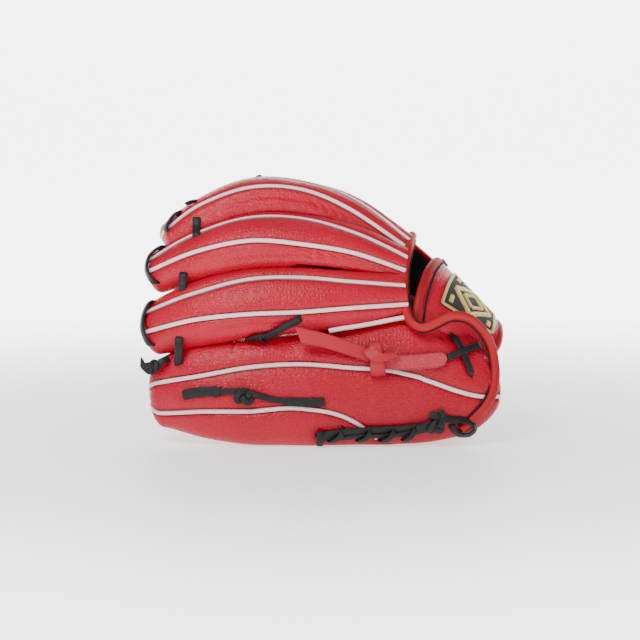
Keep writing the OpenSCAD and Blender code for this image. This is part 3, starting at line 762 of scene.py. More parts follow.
def makeWelts(name, rings, angles, body):
    stall = stalls[name]
    parts, shades = [], []
    keep = rings <= stall["rings"] + 2.3
    for k, angle in enumerate(angles):
        ringHere, angleHere = rings[keep], angle[keep]
        if name == "pinky":
            shown = ringHere > weltLook["pinkyFrom"][k]
            ringHere, angleHere = ringHere[shown], angleHere[shown]
        path = skin(stall, ringHere, angleHere)
        normals = unit(skin(stall, ringHere, angleHere, 1.0) - path)
        path = path - normals * pressed(path)[:, None] * 0.7
        outer, inner = weltShell(path, normals)
        parts.append(closedShell(outer, inner))
        # painted shadow: both edges of each welt and its inner faces are marked shaded
        shades += [np.tile([1, 0.5, 0, 0, 0, 0, 0, 0.5, 1], len(outer)), np.ones(len(outer) * 9)]
    vertices, faces = joinShells(parts)
    newPiece(name + "Welts", vertices, faces, "welt", None, np.concatenate(shades), body,
             (name + "_welts",))


# cords, straps and rolls
def skinPath(points):
    rows = []
    for name, ring, angle, lift in points:
        spot = skin(stalls[name], ring, angle, lift)
        rows.append(np.concatenate([spot, unit(skin(stalls[name], ring, angle, lift + 1.0) - spot)]))
    rows = np.array(rows)
    length = np.linalg.norm(np.diff(rows[:, :3], axis=0), axis=1).sum()
    fine = along(rows, np.linspace(0, 1, max(int(length / cordStep), 12)))
    return fine[:, :3], unit(fine[:, 3:])


def freePath(points, up):
    rows = np.array(points, float)
    length = np.linalg.norm(np.diff(rows[:, :3], axis=0), axis=1).sum()
    fine = along(rows, np.linspace(0, 1, max(int(length / cordStep), 12)))
    return fine, np.tile(np.array(up, float), (len(fine), 1))


def sweepShell(path, ups, width, thick, sides=14, power=3.2, ridge=0.0, ridgeStep=2.2, taper=True,
               slant=(0.0, 0.0),
               rounded=(False, False)):
    way = unit(np.gradient(path, axis=0))
    up = unit(ups - (ups * way).sum(-1, keepdims=True) * way)
    side = np.cross(way, up)
    distance = np.concatenate([[0], np.cumsum(np.linalg.norm(np.diff(path, axis=0), axis=1))])
    total = distance[-1]
    widths = np.broadcast_to(np.asarray(width, float), (len(path),)).copy()
    toEnd = [distance, total - distance]
    for k in (0, 1):
        if rounded[k]:
            near = np.clip(toEnd[k] / (widths * 0.5), 0.0, 1)
            widths = widths * np.maximum(np.sqrt(1 - (1 - near) ** 2), 0.3)
    a = np.radians(360 * (np.arange(sides) + 0.5) / sides)
    x, y = signedPower(np.cos(a), 2 / power), signedPower(np.sin(a), 2 / power)
    grow = np.ones(len(path))
    if taper:
        grow = np.minimum(1, 0.82 + 0.18 * np.minimum(toEnd[0], toEnd[1]) / 0.6)
    rib = 1 + ridge * np.sin(distance / ridgeStep * 2 * np.pi) * ease(np.minimum(toEnd[0], toEnd[1]) / 4)
    shift = slant[0] * np.exp(-toEnd[0] / 6) + slant[1] * np.exp(-toEnd[1] / 6)
    rings = path[:, None] + side[:, None] * (x[None] * (widths * grow)[:, None] / 2)[..., None] + \
        up[:, None] * (y[None] * (thick / 2 * grow * rib)[:, None])[..., None] + \
        way[:, None] * (x[None] * shift[:, None])[..., None]
    n = len(path)
    index = np.arange(n * sides).reshape(n, sides)
    a0, b0 = index[:-1], np.roll(index, -1, 1)[:-1]
    faces = np.stack([a0, b0, b0 + sides, a0 + sides], -1).reshape(-1, 4).tolist()
    faces += [index[0][::-1].tolist(), index[-1].tolist()]
    vertices = rings.reshape(-1, 3)
    uvs = np.stack([np.repeat(distance[:, None], sides, 1),
                    np.tile(np.linspace(0, 1, sides), (n, 1)) * 20], -1).reshape(-1, 2) / 20
    # painted shade: the flanks of each cord, lace and roll are marked for darkening
    shade = np.tile(np.abs(x) ** 8 * 0.8, n)
    return vertices, faces, uvs, shade


def orientOut(vertices, faces):
    total = 0.0
    for face in faces:
        p = vertices[face]
        for k in range(1, len(face) - 1):
            total += np.dot(p[0], np.cross(p[k], p[k + 1]))
    return faces if total > 0 else [face[::-1] for face in faces]


def makeSweep(name, runs, paint, body, replaced, slot, **look):
    allVertices, allFaces, allUvs, allShade, start = [], [], [], [], 0
    for path, ups, width, thick, extra in runs:
        vertices, faces, uvs, shade = sweepShell(path, ups, width, thick, **{**look, **extra})
        faces = orientOut(vertices, faces)
        allFaces += [[i + start for i in face] for face in faces]
        allVertices.append(vertices)
        allUvs.append(uvs)
        allShade.append(shade)
        start += len(vertices)
    return newPiece(name, np.concatenate(allVertices), allFaces, paint, np.concatenate(allUvs),
                    np.concatenate(allShade),
                    body, replaced)


def knotPath(before, centre, forward, up, size, lift, after):
    # an overhand knot laid flat, with the lace running in from "before" and out to "after"
    t = np.array([-1.97, -1.93, -1.83, -1.73, -1.5, -1.2, -0.85, -0.52, -0.2, 0.2, 0.52, 0.85, 1.2, 1.5,
                  1.73, 1.83, 1.93, 1.97])
    level = np.interp(t, [-2.02, -1.93, -1.73, -0.52, 0.52, 1.73, 1.93, 2.02], [0, -1, 1, -1, 1, -1, 1, 0])
    forward, up = unit(np.array(forward, float)), np.array(up, float)
    up = unit(up - up.dot(forward) * forward)
    side = np.cross(up, forward)
    x, y = t ** 3 - 3 * t, (t ** 4 - 4 * t ** 2 + 1.7) * 0.8
    flat = (forward * x[:, None] + side * y[:, None]) * size
    knot = np.array(centre, float) + flat + up * (level * lift)[:, None]
    rows = np.concatenate([np.array(before, float).reshape(-1, 3), knot,
                           np.array(after, float).reshape(-1, 3)])
    fine = along(rows, np.linspace(0, 1, 12 * len(rows)))
    distance = np.concatenate([[0], np.cumsum(np.linalg.norm(np.diff(fine, axis=0), axis=1))])
    even = np.linspace(0, distance[-1], max(int(distance[-1] / 0.9), 20))
    path = np.stack([np.interp(even, distance, fine[:, k]) for k in range(3)], -1)
    return path, np.tile(up, (len(path), 1))


def spot(name, ring, angle, lift=0.0):
    return skin(stalls[name], ring, angle, lift)


def outward(name, ring, angle):
    return unit(spot(name, ring, angle, 1.0) - spot(name, ring, angle))


def aroundBand(centre, axis, up, high, deep, start, stop, count=26):
    axis, up = unit(np.array(axis, float)), np.array(up, float)
    up = unit(up - up.dot(axis) * axis)
    side = np.cross(up, axis)
    a = np.radians(np.linspace(start, stop, count))
    reach = side * np.cos(a)[:, None] * high + up * np.sin(a)[:, None] * deep
    normal = side * np.cos(a)[:, None] * deep + up * np.sin(a)[:, None] * high
    return np.array(centre, float) + reach, unit(normal)


fingerLaceLook = {
    "tipWidth": 6.2,
    "linkWidth": 6.4,
    "knotWidth": 5.2,
    "backWidths": [7.4, 7.0, 4.8, 4.8, 6.6, 6.8],
    "crossWidth": 5.4,
    "edgeWidth": 4.2,
    "flat": 2.4,
    "thin": 2.2,
}


def makeFingerLaces():
    look = fingerLaceLook
    # one stitch over each fingertip and one link across each valley, ending in the leather
    stitches = [
        [(-112, 60, 174), (-115, 56.5, 178.2), (-119.5, 53.5, 175), (-123.2, 49.5, 169.5),
         (-124.2, 48, 165.5), (-121, 50, 162)],
        [(-125, 44, 150), (-129, 39.3, 151.5), (-135.2, 36, 147), (-138, 32.5, 141), (-137.8, 28, 133.8),
         (-133, 22.3, 126.4), (-128, 26, 124.5)],
        [(-131, 23, 107), (-135, 18.6, 110), (-138.3, 14.5, 104.5), (-140, 11, 97), (-139.6, 7.8, 88.8),
         (-135, 5.4, 79.4), (-130, 9, 78)],
    ]
    links = [
        [(-99.5, 45, 174), (-99.5, 40.6, 174), (-99.3, 38.4, 169), (-99, 33, 164.5), (-99, 29.4, 162),
         (-99, 31, 158)],
        [(-108.3, 20, 134), (-108.3, 14.2, 132.2), (-108.5, 12.6, 127), (-108.9, 10.8, 122),
         (-109, 14, 118)],
        [(-110.4, 2, 86), (-110.5, -3.6, 84), (-110.8, -5.4, 79), (-111.2, -5, 72), (-111.5, -3.4, 66.6),
         (-111.6, 1.5, 62)],
    ]
    runs = []
    for rows in stitches:
        path, _ = freePath(rows, (0, 0, 1))
        runs.append((path, unit(path - np.array([path[:, 0].mean() + 16, path[:, 1].mean() + 9,
                                                 path[:, 2].mean()])), look["tipWidth"], look["flat"], {}))
    for rows in links:
        path, ups = freePath(rows, (0, -1, 0.35))
        runs.append((path, ups, look["linkWidth"], look["flat"], {}))
    knot, knotUps = knotPath([(-119, 2, 68), (-124, -1.5, 66.5)], (-131.5, -2.5, 61.5), (-0.8, 0, -0.5),
                             (-0.2, -0.9, 0.3), 1.9, 1.4,
                             [(-138, 0, 62), (-141, 2, 66)])
    runs.append((knot, knotUps, look["knotWidth"], look["thin"], {"slant": (0, 3.0)}))
    makeSweep("fingertipLace", runs, "lace", fingerSide, ("fingertip_lace", "fingertip_knot"),
              "rawhide_lace")

    path, ups = skinPath([("ring", 8.9, 186, -4), ("ring", 8.5, 178, 2.6), ("ring", 7.6, 160, 3.2),
                          ("ring", 6.8, 145, 2.6),
                          ("ring", 6.2, 137, 1.2), ("ring", 6.0, 134, -3)])
    wrap, wrapUps = aroundBand(spot("ring", 8.35, 175, 2.6), path[8] - path[5], ups[8], 4.2, 2.6, -60, 250)
    loop, loopUps = skinPath([("ring", 9.4, 186, 0), ("ring", 9.3, 176, 2.4), ("ring", 8.8, 168, 3.6),
                              ("ring", 8.0, 168, 3.4),
                              ("ring", 7.6, 176, 1.6), ("ring", 7.8, 186, -3)])
    makeSweep("fingerGapLace",
              [(path, ups, 6.0, 2.4, {}), (wrap, wrapUps, 5.0, 2.2, {}), (loop, loopUps, 5.2, 2.2, {})],
              "lace",
              fingerSide, ("finger_gap_lace",), "rawhide_lace")

    left = [spot("pinky", r, a, 2.0) for r,
            a in ((18.8, 94), (18.2, 93), (17.6, 92), (17.0, 92), (16.4, 92))]
    right = [spot("pinky", r, a, 2.0) for r,
             a in ((13.9, 97), (13.2, 99), (12.4, 100.5), (11.5, 101.5), (10.6, 102))]
    path, ups = knotPath(left, spot("pinky", 15.2, 94.5, 4.0),
                         spot("pinky", 14.6, 96) - spot("pinky", 15.8, 93),
                         outward("pinky", 15.2, 94.5), 2.7, 1.5, right)
    distance = np.concatenate([[0], np.cumsum(np.linalg.norm(np.diff(path, axis=0), axis=1))])
    total = distance[-1]
    width = np.interp(distance, [0, 26, 34, total - 34, total - 26, total], look["backWidths"])
    makeSweep("pinkyBackLace", [(path, ups, width, look["thin"], {})], "lace", fingerSide,
                      ("pinky_adjust_lace", "pinky_adjust_knot"), "rawhide_lace")
    path, ups = skinPath([("pinky", 18.75, 94, 2.2), ("pinky", 17.6, 92, 2.2), ("pinky", 16.5, 92, 2.4)])
    makeSweep("pinkyRidgedLace", [(path, ups, 7.8, 2.6, {"ridge": 0.13, "ridgeStep": 2.3})], "lace",
              fingerSide, (), "rawhide_lace")

    runs = []
    for rows, up in (([(101, 15, 85), (101.4, 10.4, 85), (103.6, 7.2, 81.6), (107, 3.2, 75.6),
                       (110.6, -0.9, 67), (113.2, -2.2, 60.4),
                       (114.2, -1.8, 57), (114.6, 3, 55)], (0.3, -0.75, 0.5)),
                     ([(94.5, 3, 68.5), (96, -2.8, 69.8), (99.5, -2.6, 71.2), (105, -0.6, 73),
                       (109, 1.6, 74.4), (115.5, 6.6, 76),
                       (120.6, 9.8, 77.2), (122.5, 15, 76)], (0.25, -0.85, 0.45))):
        path, ups = freePath(rows, up)
        runs.append((path, ups, look["crossWidth"], 2.0, {}))
    makeSweep("strapCrossLace", runs, "lace", fingerSide, ("strap_cross_lace",), "rawhide_lace", power=3.6)

    path, ups = freePath([(-91, 76, 180), (-94, 71, 185), (-98.5, 65, 187.2), (-104, 58.5, 187),
                          (-108.5, 54, 185)], (0, -0.3, 1))
    second, secondUps = skinPath([("index", 8.6, 62, -2), ("index", 8.5, 50, 2.0), ("index", 8.4, 38, 2.6),
                                  ("index", 8.4, 24, -2)])
    makeSweep("indexEdgeLaces",
              [(path, ups, look["edgeWidth"], 2.2, {}), (second, secondUps, look["edgeWidth"], 2.0, {})],
              "lace", fingerSide, (),
              "rawhide_lace")


heelLaceLook = {
    "strandWidth": 6.4,
    "belowWidth": 5.0,
    "stitchWidth": 4.6,
    "stitchRings": (9.9, 8.2, 6.8, 5.5),
    "bandWidth": 5.2,
    "knotWidth": 4.8,
    "loopWidth": 6.4,
}


def makeHeelLaces():
    look = heelLaceLook
    strand, strandUps = skinPath([("pinky", 11.1, 150, -2), ("pinky", 11.0, 142, 3),
                                  ("pinky", 10.2, 136, 3.6), ("pinky", 8, 133, 3.4),
                                  ("pinky", 6, 132, 3.4), ("pinky", 4.6, 130, 4.5)])
    below, belowUps = skinPath([("pinky", 10.9, 156, -1), ("pinky", 10.2, 147, 2.4),
                                ("pinky", 8.6, 143, 2.6), ("pinky", 6.6, 141.5, 2.6),
                                ("pinky", 5, 138, 3), ("pinky", 4, 134, 4)])
    runs = [(strand, strandUps, look["strandWidth"], 2.4, {}),
            (below, belowUps, look["belowWidth"], 2.2, {})]
    for i in look["stitchRings"]:
        path, ups = skinPath([("pinky", i - 0.25, 131, 1), ("pinky", i - 0.1, 134, 5.6),
                              ("pinky", i + 0.15, 141, 5.8), ("pinky", i + 0.45, 150, 3.6),
                              ("pinky", i + 0.6, 156, 1.4), ("pinky", i + 0.65, 160, -3)])
        runs.append((path, ups, look["stitchWidth"], 2.0, {}))
    centre = spot("pinky", 11.05, 145, 3.0)
    band, bandUps = aroundBand(centre, spot("pinky", 10.4, 145, 3) - centre, outward("pinky", 11, 145),
                               6.6, 3.6, -70, 250)
    runs.append((band, bandUps, look["bandWidth"], 2.0, {}))
    centre, up = spot("pinky", 4.3, 130, 7.0), outward("pinky", 4.3, 120)
    knot, knotUps = knotPath([spot("pinky", 5.3, 131, 5.5)], centre, (1, 0.1, 0.05), up, 2.3, 1.5,
                             [centre + np.array([6, 1, 7.0]), centre + np.array([3, 3, 12.0])])
    runs.append((knot, knotUps, look["knotWidth"], 2.1, {}))
    loop, _ = freePath([(82, -15, 27), (88, -16.5, 25), (98, -15.5, 23.4), (108, -14, 22.6),
                        (115.5, -12, 19.6), (117, -10.5, 15), (113, -10.5, 11),
                        (105.5, -12, 10.5), (101, -13.5, 14), (98.5, -13.6, 19)], (0, 0, 1))
    around = unit(loop - np.array([107.5, -12.5, 15.5]))
    runs.append((loop, unit(around + np.array([0.0, -0.75, 0.15])), look["loopWidth"], 2.0, {}))
    makeSweep("heelLace", runs, "lace", fingerSide, ("heel_lace", "heel_lace_knot"), "rawhide_lace")


pullStrapLook = {  # widths from one end of each run to the other
    "tail": [11.6, 11.6, 10.5, 9.5],
    "flap": [12.0, 9.5, 5.5, 3.4],
    "band": [8.5, 8.5, 11.5, 12.5],
    "suede": [10.0, 11.5, 12.0, 11.0],
    "thick": 2.6,
}


def makePullStrap():
    look = pullStrapLook
    left, leftUps = freePath([(-19, -15.5, 88.6), (-12, -15.6, 87), (-4, -14.6, 85.4), (6, -12.6, 82.4),
                              (17, -11.4, 78.6), (27, -10.6, 75.2), (37, -10.8, 71)],
                             (0, -1, 0.22))
    leftWidth = np.interp(np.linspace(0, 1, len(left)), [0, 0.2, 0.8, 1], look["tail"])
    flap, flapUps = freePath([(35, -14, 78), (39, -18.6, 73.4), (45, -19, 71.6), (51, -16.5, 72.4),
                              (57, -13, 72.6)], (0, -1, 0.3))
    flapWidth = np.interp(np.linspace(0, 1, len(flap)), [0, 0.35, 0.7, 1], look["flap"])
    centre = np.array([41.0, -11.4, 69.6])
    band, bandUps = aroundBand(centre, (0.98, 0.0, 0.1), (0, -1, 0.1), 12.2, 6.4, -62, 242, 34)
    bandWidth = np.interp(np.linspace(0, 1, len(band)), [0, 0.3, 0.6, 1], look["band"])
    runs = [(left, leftUps, leftWidth, look["thick"], {"slant": (3.4, 0)}),
            (band, bandUps, bandWidth, 2.4, {}),
            (flap, flapUps, flapWidth, 2.2, {"slant": (0, 2.0)})]
    makeSweep("pullStrap", runs, "strap", fingerSide, ("pull_strap", "pull_strap_knot"), "strap_leather",
              power=5, sides=18)
    right, rightUps = freePath([(42, -11.6, 67.4), (50, -11.4, 67), (60, -10.4, 66.6), (72, -9.2, 67),
                                (84, -7.8, 67.8), (95, -5.2, 69.4)], (0, -1, 0.2))
    rightWidth = np.interp(np.linspace(0, 1, len(right)), [0, 0.3, 0.8, 1], look["suede"])
    makeSweep("pullStrapSuede", [(right, rightUps, rightWidth, look["thick"], {"rounded": (False, True)})],
              "suede", fingerSide, (),
              "strap_leather", power=5, sides=18)


wingLook = {"puff": 1.6}


def makeWing():
    stall = stalls["base"]
    rings = ringSteps(stall, 0.0, stall["rings"] + 2.96)
    parts, shades, uvs = [], [], []
    for low, high, seams in ((4, 86.5, (False, True)), (93.5, 176, (True, False))):
        lows, highs = np.full(len(rings), float(low)), np.full(len(rings), float(high))
        outer, inner, shade = panelShell(stall, rings, lows, highs, *seams, 30, puff=wingLook["puff"],
                                         seed=31)
        parts.append(closedShell(outer, inner))
        # painted shade: seam valleys marked as in the finger panels, inner faces marked fully shaded
        shades += [shade.ravel(), np.ones(shade.size)]
        uvs.append(gridUv(outer))
    vertices, faces = joinShells(parts)
    newPiece("thumbBasePanel", vertices, faces, "shell", np.concatenate(uvs), np.concatenate(shades),
             thumbSide,
             ("thumb_base_panel",))
    keep = rings[rings <= stall["rings"] + 2.3]
    angle = np.full(len(keep), 90.0)
    path = skin(stall, keep, angle)
    outer, inner = weltShell(path, unit(skin(stall, keep, angle, 1.0) - path))
    vertices, faces = closedShell(outer, inner)
    # painted shadow: both edges of the welt and its inner faces are marked shaded
    shade = np.concatenate([np.tile([1, 0.5, 0, 0, 0, 0, 0, 0.5, 1], len(outer)), np.ones(len(outer) * 9)])
    newPiece("thumbBaseWelt", vertices, faces, "welt", None, shade, thumbSide, ("thumb_base_welt",))


def planCreases():
    for k in range(7):  # the index finger's lower panel wrinkles where it is tucked against the middle one
        addCrease("index", [(5.6 - 0.62 * k, 132 + 1.5 * k), (5.0 - 0.62 * k, 146), (4.9 - 0.62 * k, 162)],
                  0.9, 1.5)
    for k in range(6):
        addCrease("middle", [(6.2 - 0.75 * k, 136), (5.6 - 0.75 * k, 150), (5.0 - 0.75 * k, 166)], 0.8, 1.6)
    for k in range(5):
        addCrease("ring", [(6.4 - 0.8 * k, 34), (5.6 - 0.8 * k, 22), (5.0 - 0.8 * k, 8)], 0.8, 1.6)
    addCrease("index", [(13, 136), (10, 141), (6, 143), (2, 150)], 2.4, 4.5)
    addCrease("middle", [(12, 150), (8, 153), (4, 156), (1, 150)], 2.2, 4.0)
    addCrease("ring", [(12, 140), (9, 146), (5, 150)], 1.6, 4.0)
    for end in ((4.4, 36), (3.6, 30), (2.6, 34), (1.6, 30)):
        addCrease("pinky", [(2.9, 58), (0.5 * (2.9 + end[0]), 0.5 * (58 + end[1])), end], 0.9, 1.8)
    for name, ring, angle, depth, width in [
        ("pinky", 18.8, 94, 0.8, 5), ("pinky", 10.6, 102, 0.8, 5), ("ring", 6.2, 137, 1.0, 4),
        ("pinky", 11.0, 146, 1.2, 6),
        ("pinky", 12.6, 34, 1.5, 9), ("pinky", 15.5, 22, 1.0, 8), ("ring", 12.5, 152, 1.2, 8),
        ("middle", 12.2, 150, 1.2, 8)]:
        pressPoints.append((skin(stalls[name], ring, angle), depth, width))
    for hole in ((101, 11, 85), (114, -0.5, 57), (96, -1, 69.5), (121.5, 12, 76)):
        pressPoints.append((np.array(hole, float), 1.3, 3.6))


planCreases()
for stallName in stallOrder:
    makeBack(stallName)
makeWing()
print("backs made")


# palm, linings and pads
def surface(rows, s, t):
    first = along(rows.reshape(len(rows), -1), s).reshape(len(s), rows.shape[1], 3)
    second = along(first.transpose(1, 0, 2).reshape(rows.shape[1], -1), t).reshape(len(t), len(s), 3)
    return second.transpose(1, 0, 2)


def sheetShell(rows, s, t, lift, thick, lumpSize):
    grid = surface(rows, np.linspace(*s), np.linspace(*t))
    normals = gridNormals(grid)
    if lumpSize:
        lift = lift + lumps(grid, 30.0, lumpSize, 5.0)[..., None]
    outer = grid + normals * (lift + thick)
    return outer, grid + normals * lift


def makeSheet(name, rows, s, t, lift, thick, paint, body, replaced, lumpSize=0.3):
    outer, inner = sheetShell(rows, s, t, lift, thick, lumpSize)
    vertices, faces = closedShell(outer, inner)
    return newPiece(name, vertices, faces, paint, gridUv(outer), None, body, replaced)


def makeFront(name):
    stall = stalls[name]
    rings = ringSteps(stall, stall["crotch"] - 1.0, stall["rings"] + 2.96)
    low, high = np.full(len(rings), 213.0), np.full(len(rings), 327.0)
    outer, inner, shade = panelShell(stall, rings, low, high, False, False, 30, puff=0.0, seed=50)
    vertices, faces = closedShell(outer, inner)
    newPiece(name + "Front", vertices, faces, "palm", gridUv(outer), None,
             thumbSide if name == "thumb" else fingerSide,
             ("palm_thumb_side" if name == "thumb" else "palm_finger_side",))


palmLook = {"leather": 3.0, "lining": 1.6, "liningDepth": 9.4, "pad": 4.6, "padDepth": 3.9}


def makePalm():
    makeSheet("palmLeather", palmArches, (0, 1, 84), (0, 1, 190), 0.0, palmLook["leather"], "palm", "both",
              ("palm_finger_side", "palm_thumb_side"), 0.5)
    makeSheet("handLining", palmArches, (0.1, 0.985, 60), (0.03, 0.97, 130), palmLook["liningDepth"],
              palmLook["lining"], "lining", "both",
              ("lining_finger_side", "lining_thumb_side"), 0.6)
    makeSheet("backLining", backArches, (0, 1, 40), (0.05, 0.97, 70), 0.0, palmLook["lining"], "lining",
              fingerSide, ("back_lining",),
              0.4)
    for name, low, high, body, node in (("pinkyHeelPad", 0.1, 0.44, fingerSide, "pinky_heel_pad"),
                                        ("thumbHeelPad", 0.6, 0.88, thumbSide, "thumb_heel_pad")):
        makeSheet(name, palmArches, (0.35, 0.97, 40), (low, high, 50), palmLook["padDepth"],
                  palmLook["pad"], "felt", body,
                  (node,), 0.3)
    for name in stallOrder:
        makeFront(name)


makePalm()
print("palm made")


# strap, bindings
strapLook = {"thickness": 3.0, "rollWidth": 8.4, "bindingWidth": 7.4, "thumbBindingWidth": 6.6}
strapRows = np.array([strapFront + [(99, 96, 128)], strapRear + [(132, 96, 78)]], float)


def makeStrapAndBindings():
    makeSheet("wristStrap", strapRows, (0.03, 0.97, 40), (0, 1, 90), 0.0, strapLook["thickness"], "shell",
              "both", ("wrist_strap",),
              0.3)
    width = strapLook["rollWidth"]
    for name, rows, node in (("strapFrontRoll", strapRows[0], "strap_front_roll"),
                             ("strapRearRoll", strapRows[1], "strap_rear_roll")):
        path, ups = freePath(rows, (1, 0, 0))
        makeSweep(name, [(path, ups, width, width * 0.94, {})], "binding", "both", (node,),
                  "binding_leather", power=2.1, taper=False)
    # painted shadow: a thin black cord along the front roll stands in for the shaded crease where the binding
    # is stitched
    path, ups = freePath(strapRows[0], (1, 0, 0))
    path = path[: int(len(path) * 0.86)] + np.array([5.4, -2.2, 0.6])
    makeSweep("strapSeamShadow", [(path, ups[: len(path)], 1.2, 1.8, {})], "lining", "both", (), "lining_leather")
    opening = [(72, 76, 159), (68, 50, 150), (64, 33, 134), (63.5, 20, 116), (65, 8, 102), (70, -1, 95),
               (78, -3.5, 93), (88, -2, 97), (99, 0, 101.5),
               (112, 2, 99.5), (123, 6, 90), (130.5, 10.5, 77), (133.2, 9, 64), (133.4, 4.6, 53),
               (131, -1.5, 42), (125, -6.5, 32),
               (115, -9.5, 22), (106, -11, 15)]
    path, ups = freePath(opening, (0, -1, 0))
    makeSweep("openingBinding", [(path, ups, strapLook["bindingWidth"], 6.6, {})], "binding", fingerSide,
              ("opening_binding", "wrist_binding"),
              "binding_leather", power=2.1, taper=False)
    # painted shadow: thin black cords beside the opening binding stand in for the shaded crease along its
    # stitched seam
    way = unit(np.gradient(path, axis=0))
    beside = np.cross(way, unit(ups - (ups * way).sum(-1, keepdims=True) * way))
    low = np.argmin(path[:, 2] + 1000 * (path[:, 0] > 100))  # the bottom of the opening
    runs = [(path[4:low] + beside[4:low] * -3.9 + np.array([0, -1.6, 0]), ups[4:low], 1.1, 1.4, {}),
            (path[low - 6:] + beside[low - 6:] * 4.3 + np.array([0, -1.2, 0]), ups[low - 6:], 1.1, 1.8, {})]
    makeSweep("bindingSeamShadows", runs, "lining", fingerSide, (), "lining_leather")
    thumbEdge = [(97, 96, 136), (101, 116, 118), (107, 134, 96), (114, 144, 64), (114, 142, 34),
                 (107, 136, 14)]
    path, ups = freePath(thumbEdge, (0, 1, 0))
    makeSweep("thumbBinding", [(path, ups, strapLook["thumbBindingWidth"], 6.2, {})], "binding", thumbSide,
              ("thumb_binding",), "binding_leather",
              power=2.1, taper=False)


def makeCuff():
    stall = stalls["base"]
    rings = ringSteps(stall, 0.0, stall["rings"] + 2.7)
    angles = np.linspace(4, 176, 60)
    outer = skin(stall, rings[:, None], angles[None], -3.3)
    vertices, faces = closedShell(outer, skin(stall, rings[:, None], angles[None], -4.4))
    newPiece("cuffLining", vertices, faces, "lining", gridUv(outer), None, thumbSide, ())
    path, ups = freePath([(4.6, -5.2, 90.4), (14, -3.6, 92), (26, -1.6, 93.6), (40.6, 2, 95.8),
                          (54, 4.4, 98.2), (63, 5.5, 99.6)], (0, -0.75, 0.5))
    makeSweep("valleyWelt", [(path, ups, 3.6, 2.6, {})], "welt", fingerSide, (), "welt_leather", power=4)


def onStrap(points, lift):
    # a line drawn on the wrist strap; s runs from the front edge to the rear one, t along the strap
    rows = np.array(points, float)
    s, t = along(rows, np.linspace(0, 1, 14 * len(rows))).T
    grid = np.array([surface(strapRows, [a, a + 0.01], [b * 0.8, b * 0.8 + 0.008]) for a, b in zip(s, t)])
    normal = unit(np.cross(grid[:, 1, 0] - grid[:, 0, 0], grid[:, 0, 1] - grid[:, 0, 0]))
    return grid[:, 0, 0] + normal * (strapLook["thickness"] + lift), normal


labelLook = {"puff": 1.1, "borderWidth": 2.6, "outerDiamond": 0.2, "innerDiamond": 0.105, "barWidth": 4.0}


def makeLabel():
    rows = np.linspace(0.27, 0.86, 26), np.linspace(0.3, 0.8, 44) * 0.8
    grid = surface(strapRows, *rows)
    normals = gridNormals(grid)
    edge = np.minimum(*np.meshgrid(np.minimum(np.arange(26), 25 - np.arange(26)),
                                   np.minimum(np.arange(44), 43 - np.arange(44)),
                                   indexing="ij"))
    base = strapLook["thickness"]
    puff = labelLook["puff"] * (1 - np.exp(-edge / 1.5))[..., None]
    vertices, faces = closedShell(grid + normals * (base + 0.5 + puff), grid + normals * base)
    newPiece("labelPatch", vertices, faces, "cloth", gridUv(grid), None, fingerSide, ("label_patch",))
    frameRuns, motifRuns = [], []
    for line in ([(0.285, 0.31), (0.285, 0.79)], [(0.845, 0.31), (0.845, 0.79)],
                 [(0.285, 0.315), (0.845, 0.315)],
                 [(0.285, 0.785), (0.845, 0.785)]):
        path, ups = onStrap(line, 1.3)
        frameRuns.append((path, ups, labelLook["borderWidth"], 1.6, {}))
    makeSweep("labelBorder", frameRuns, "gold", fingerSide, ("label_border",), "gold_thread", power=2.4)
    middle = 0.565, 0.55
    for size, width in ((labelLook["outerDiamond"], 4.8),
                        (labelLook["innerDiamond"], 3.4)):  # with bars beside them
        corners = [(middle[0] - size, middle[1]), (middle[0], middle[1] + size * 0.95),
                   (middle[0] + size, middle[1]),
                   (middle[0], middle[1] - size * 0.95)]
        for k in range(4):
            path, ups = onStrap([corners[k], corners[(k + 1) % 4]], 1.7)
            motifRuns.append((path, ups, width, 2.4, {}))
    for t in (0.36, 0.66):
        for s in (0.36, 0.77):
            path, ups = onStrap([(s, t), (s, t + 0.08)], 1.6)
            motifRuns.append((path, ups, labelLook["barWidth"], 1.8, {}))
    makeSweep("labelMotif", motifRuns, "gold", fingerSide, ("label_emblem",), "gold_thread", power=2.4)


# web and thumb side
def onWeb(points, lift, count=None):
    rows = np.array(points, float)
    s, t = along(rows, np.linspace(0, 1, count or 8 * len(rows))).T
    grid = np.array([surface(webArches, [a, a + 0.01], [b, b + 0.01]) for a, b in zip(s, t)])
    normal = unit(np.cross(grid[:, 1, 0] - grid[:, 0, 0], grid[:, 0, 1] - grid[:, 0, 0]))
    return grid[:, 0, 0] + normal * np.broadcast_to(lift, s.shape)[:, None], normal


webLook = {"leather": 5.0, "laceWidth": 4.2, "rows": (0.27, 0.4, 0.53, 0.66)}


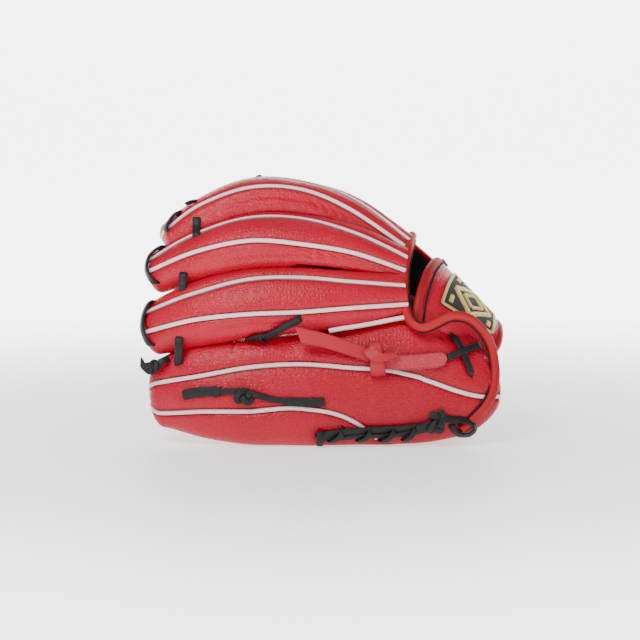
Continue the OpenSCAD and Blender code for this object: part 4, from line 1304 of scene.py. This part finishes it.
def makeWeb():
    for name, s, t, node in (("webTopBar", (0.8, 0.99, 16), (0.0, 1.0, 50), "web_top_bar"),
                             ("webPost", (0.2, 0.795, 44), (0.36, 0.64, 20), "web_post"),
                             ("webBaseBar", (0.005, 0.19, 14), (0.0, 1.0, 50), "web_base_bar")):
        makeSheet(name, webArches, s, t, 0.0, webLook["leather"], "shell", thumbSide, (node,),
                  0.2)
    for name, low, high, node in (("webIndexLace", 0.02, 0.37, "web_index_lace"),
                                  ("webThumbLace", 0.63, 0.9, "web_thumb_lace")):
        runs = []
        for s in webLook["rows"]:
            for lift, tilt in ((0.6, 0.012), (4.4, -0.012)):
                path, ups = onWeb([(s - tilt, low), (s, (low + high) / 2), (s + tilt, high)], lift)
                runs.append((path, ups, webLook["laceWidth"], 2.0, {}))
        makeSweep(name, runs, "lace", thumbSide, (node,), "rawhide_lace")
    path, _ = onWeb([(0.985, 0.03), (0.985, 0.25), (0.985, 0.5), (0.985, 0.75), (0.985, 0.97)], 2.5, 70)
    path = path + np.array([-4.5, 0, 0])
    makeSweep("webTopLace", [(path, np.tile([0.0, 0.3, 1.0], (len(path), 1)), 4.4, 2.2, {})], "lace",
              thumbSide,
              ("web_top_lace",), "rawhide_lace")


thumbLaceLook = {"backWidth": 5.4, "strandWidth": 5.6, "stitchWidth": 4.4,
                 "stitchRings": (5, 3.6, 2.2, 0.8)}


def makeThumbLaces():
    look = thumbLaceLook
    left = [spot("thumb", r, a, 1.8) for r, a in ((11.4, 88), (11.0, 89), (10.5, 90), (10.0, 90))]
    right = [spot("thumb", r, a, 1.8) for r, a in ((8.0, 90), (7.5, 90), (7.0, 91), (6.4, 92))]
    path, ups = knotPath(left, spot("thumb", 9.0, 90, 3.6), spot("thumb", 8.5, 90) - spot("thumb", 9.5, 90),
                         outward("thumb", 9, 90), 2.6, 1.5, right)
    makeSweep("thumbBackLace", [(path, ups, look["backWidth"], 2.2, {})], "lace", thumbSide,
              ("thumb_adjust_lace", "thumb_adjust_knot"),
              "rawhide_lace")
    strand, strandUps = skinPath([("thumb", 6.0, 30, -2), ("thumb", 5.8, 40, 2.6), ("thumb", 4, 41, 3.2),
                                  ("thumb", 2.4, 41, 3.2), ("thumb", 0.8, 42, 2.6),
                                  ("thumb", 0.4, 34, -2)])
    runs = [(strand, strandUps, look["strandWidth"], 2.2, {})]
    for i in look["stitchRings"]:
        path, ups = skinPath([("thumb", i - 0.1, 46, 1), ("thumb", i, 42, 4.8),
                              ("thumb", i + 0.2, 34, 4.2), ("thumb", i + 0.4, 24, 1.4),
                              ("thumb", i + 0.5, 18, -3)])
        runs.append((path, ups, look["stitchWidth"], 2.0, {}))
    makeSweep("thumbHeelLace", runs, "lace", thumbSide, ("thumb_heel_lace",), "rawhide_lace")


makeStrapAndBindings()
makeCuff()
makeLabel()
print("strap, label and bindings made")
makeFingerLaces()
makeHeelLaces()
makePullStrap()
makeWeb()
makeThumbLaces()
print("laces and web made")

print("pieces:", len(madePieces))
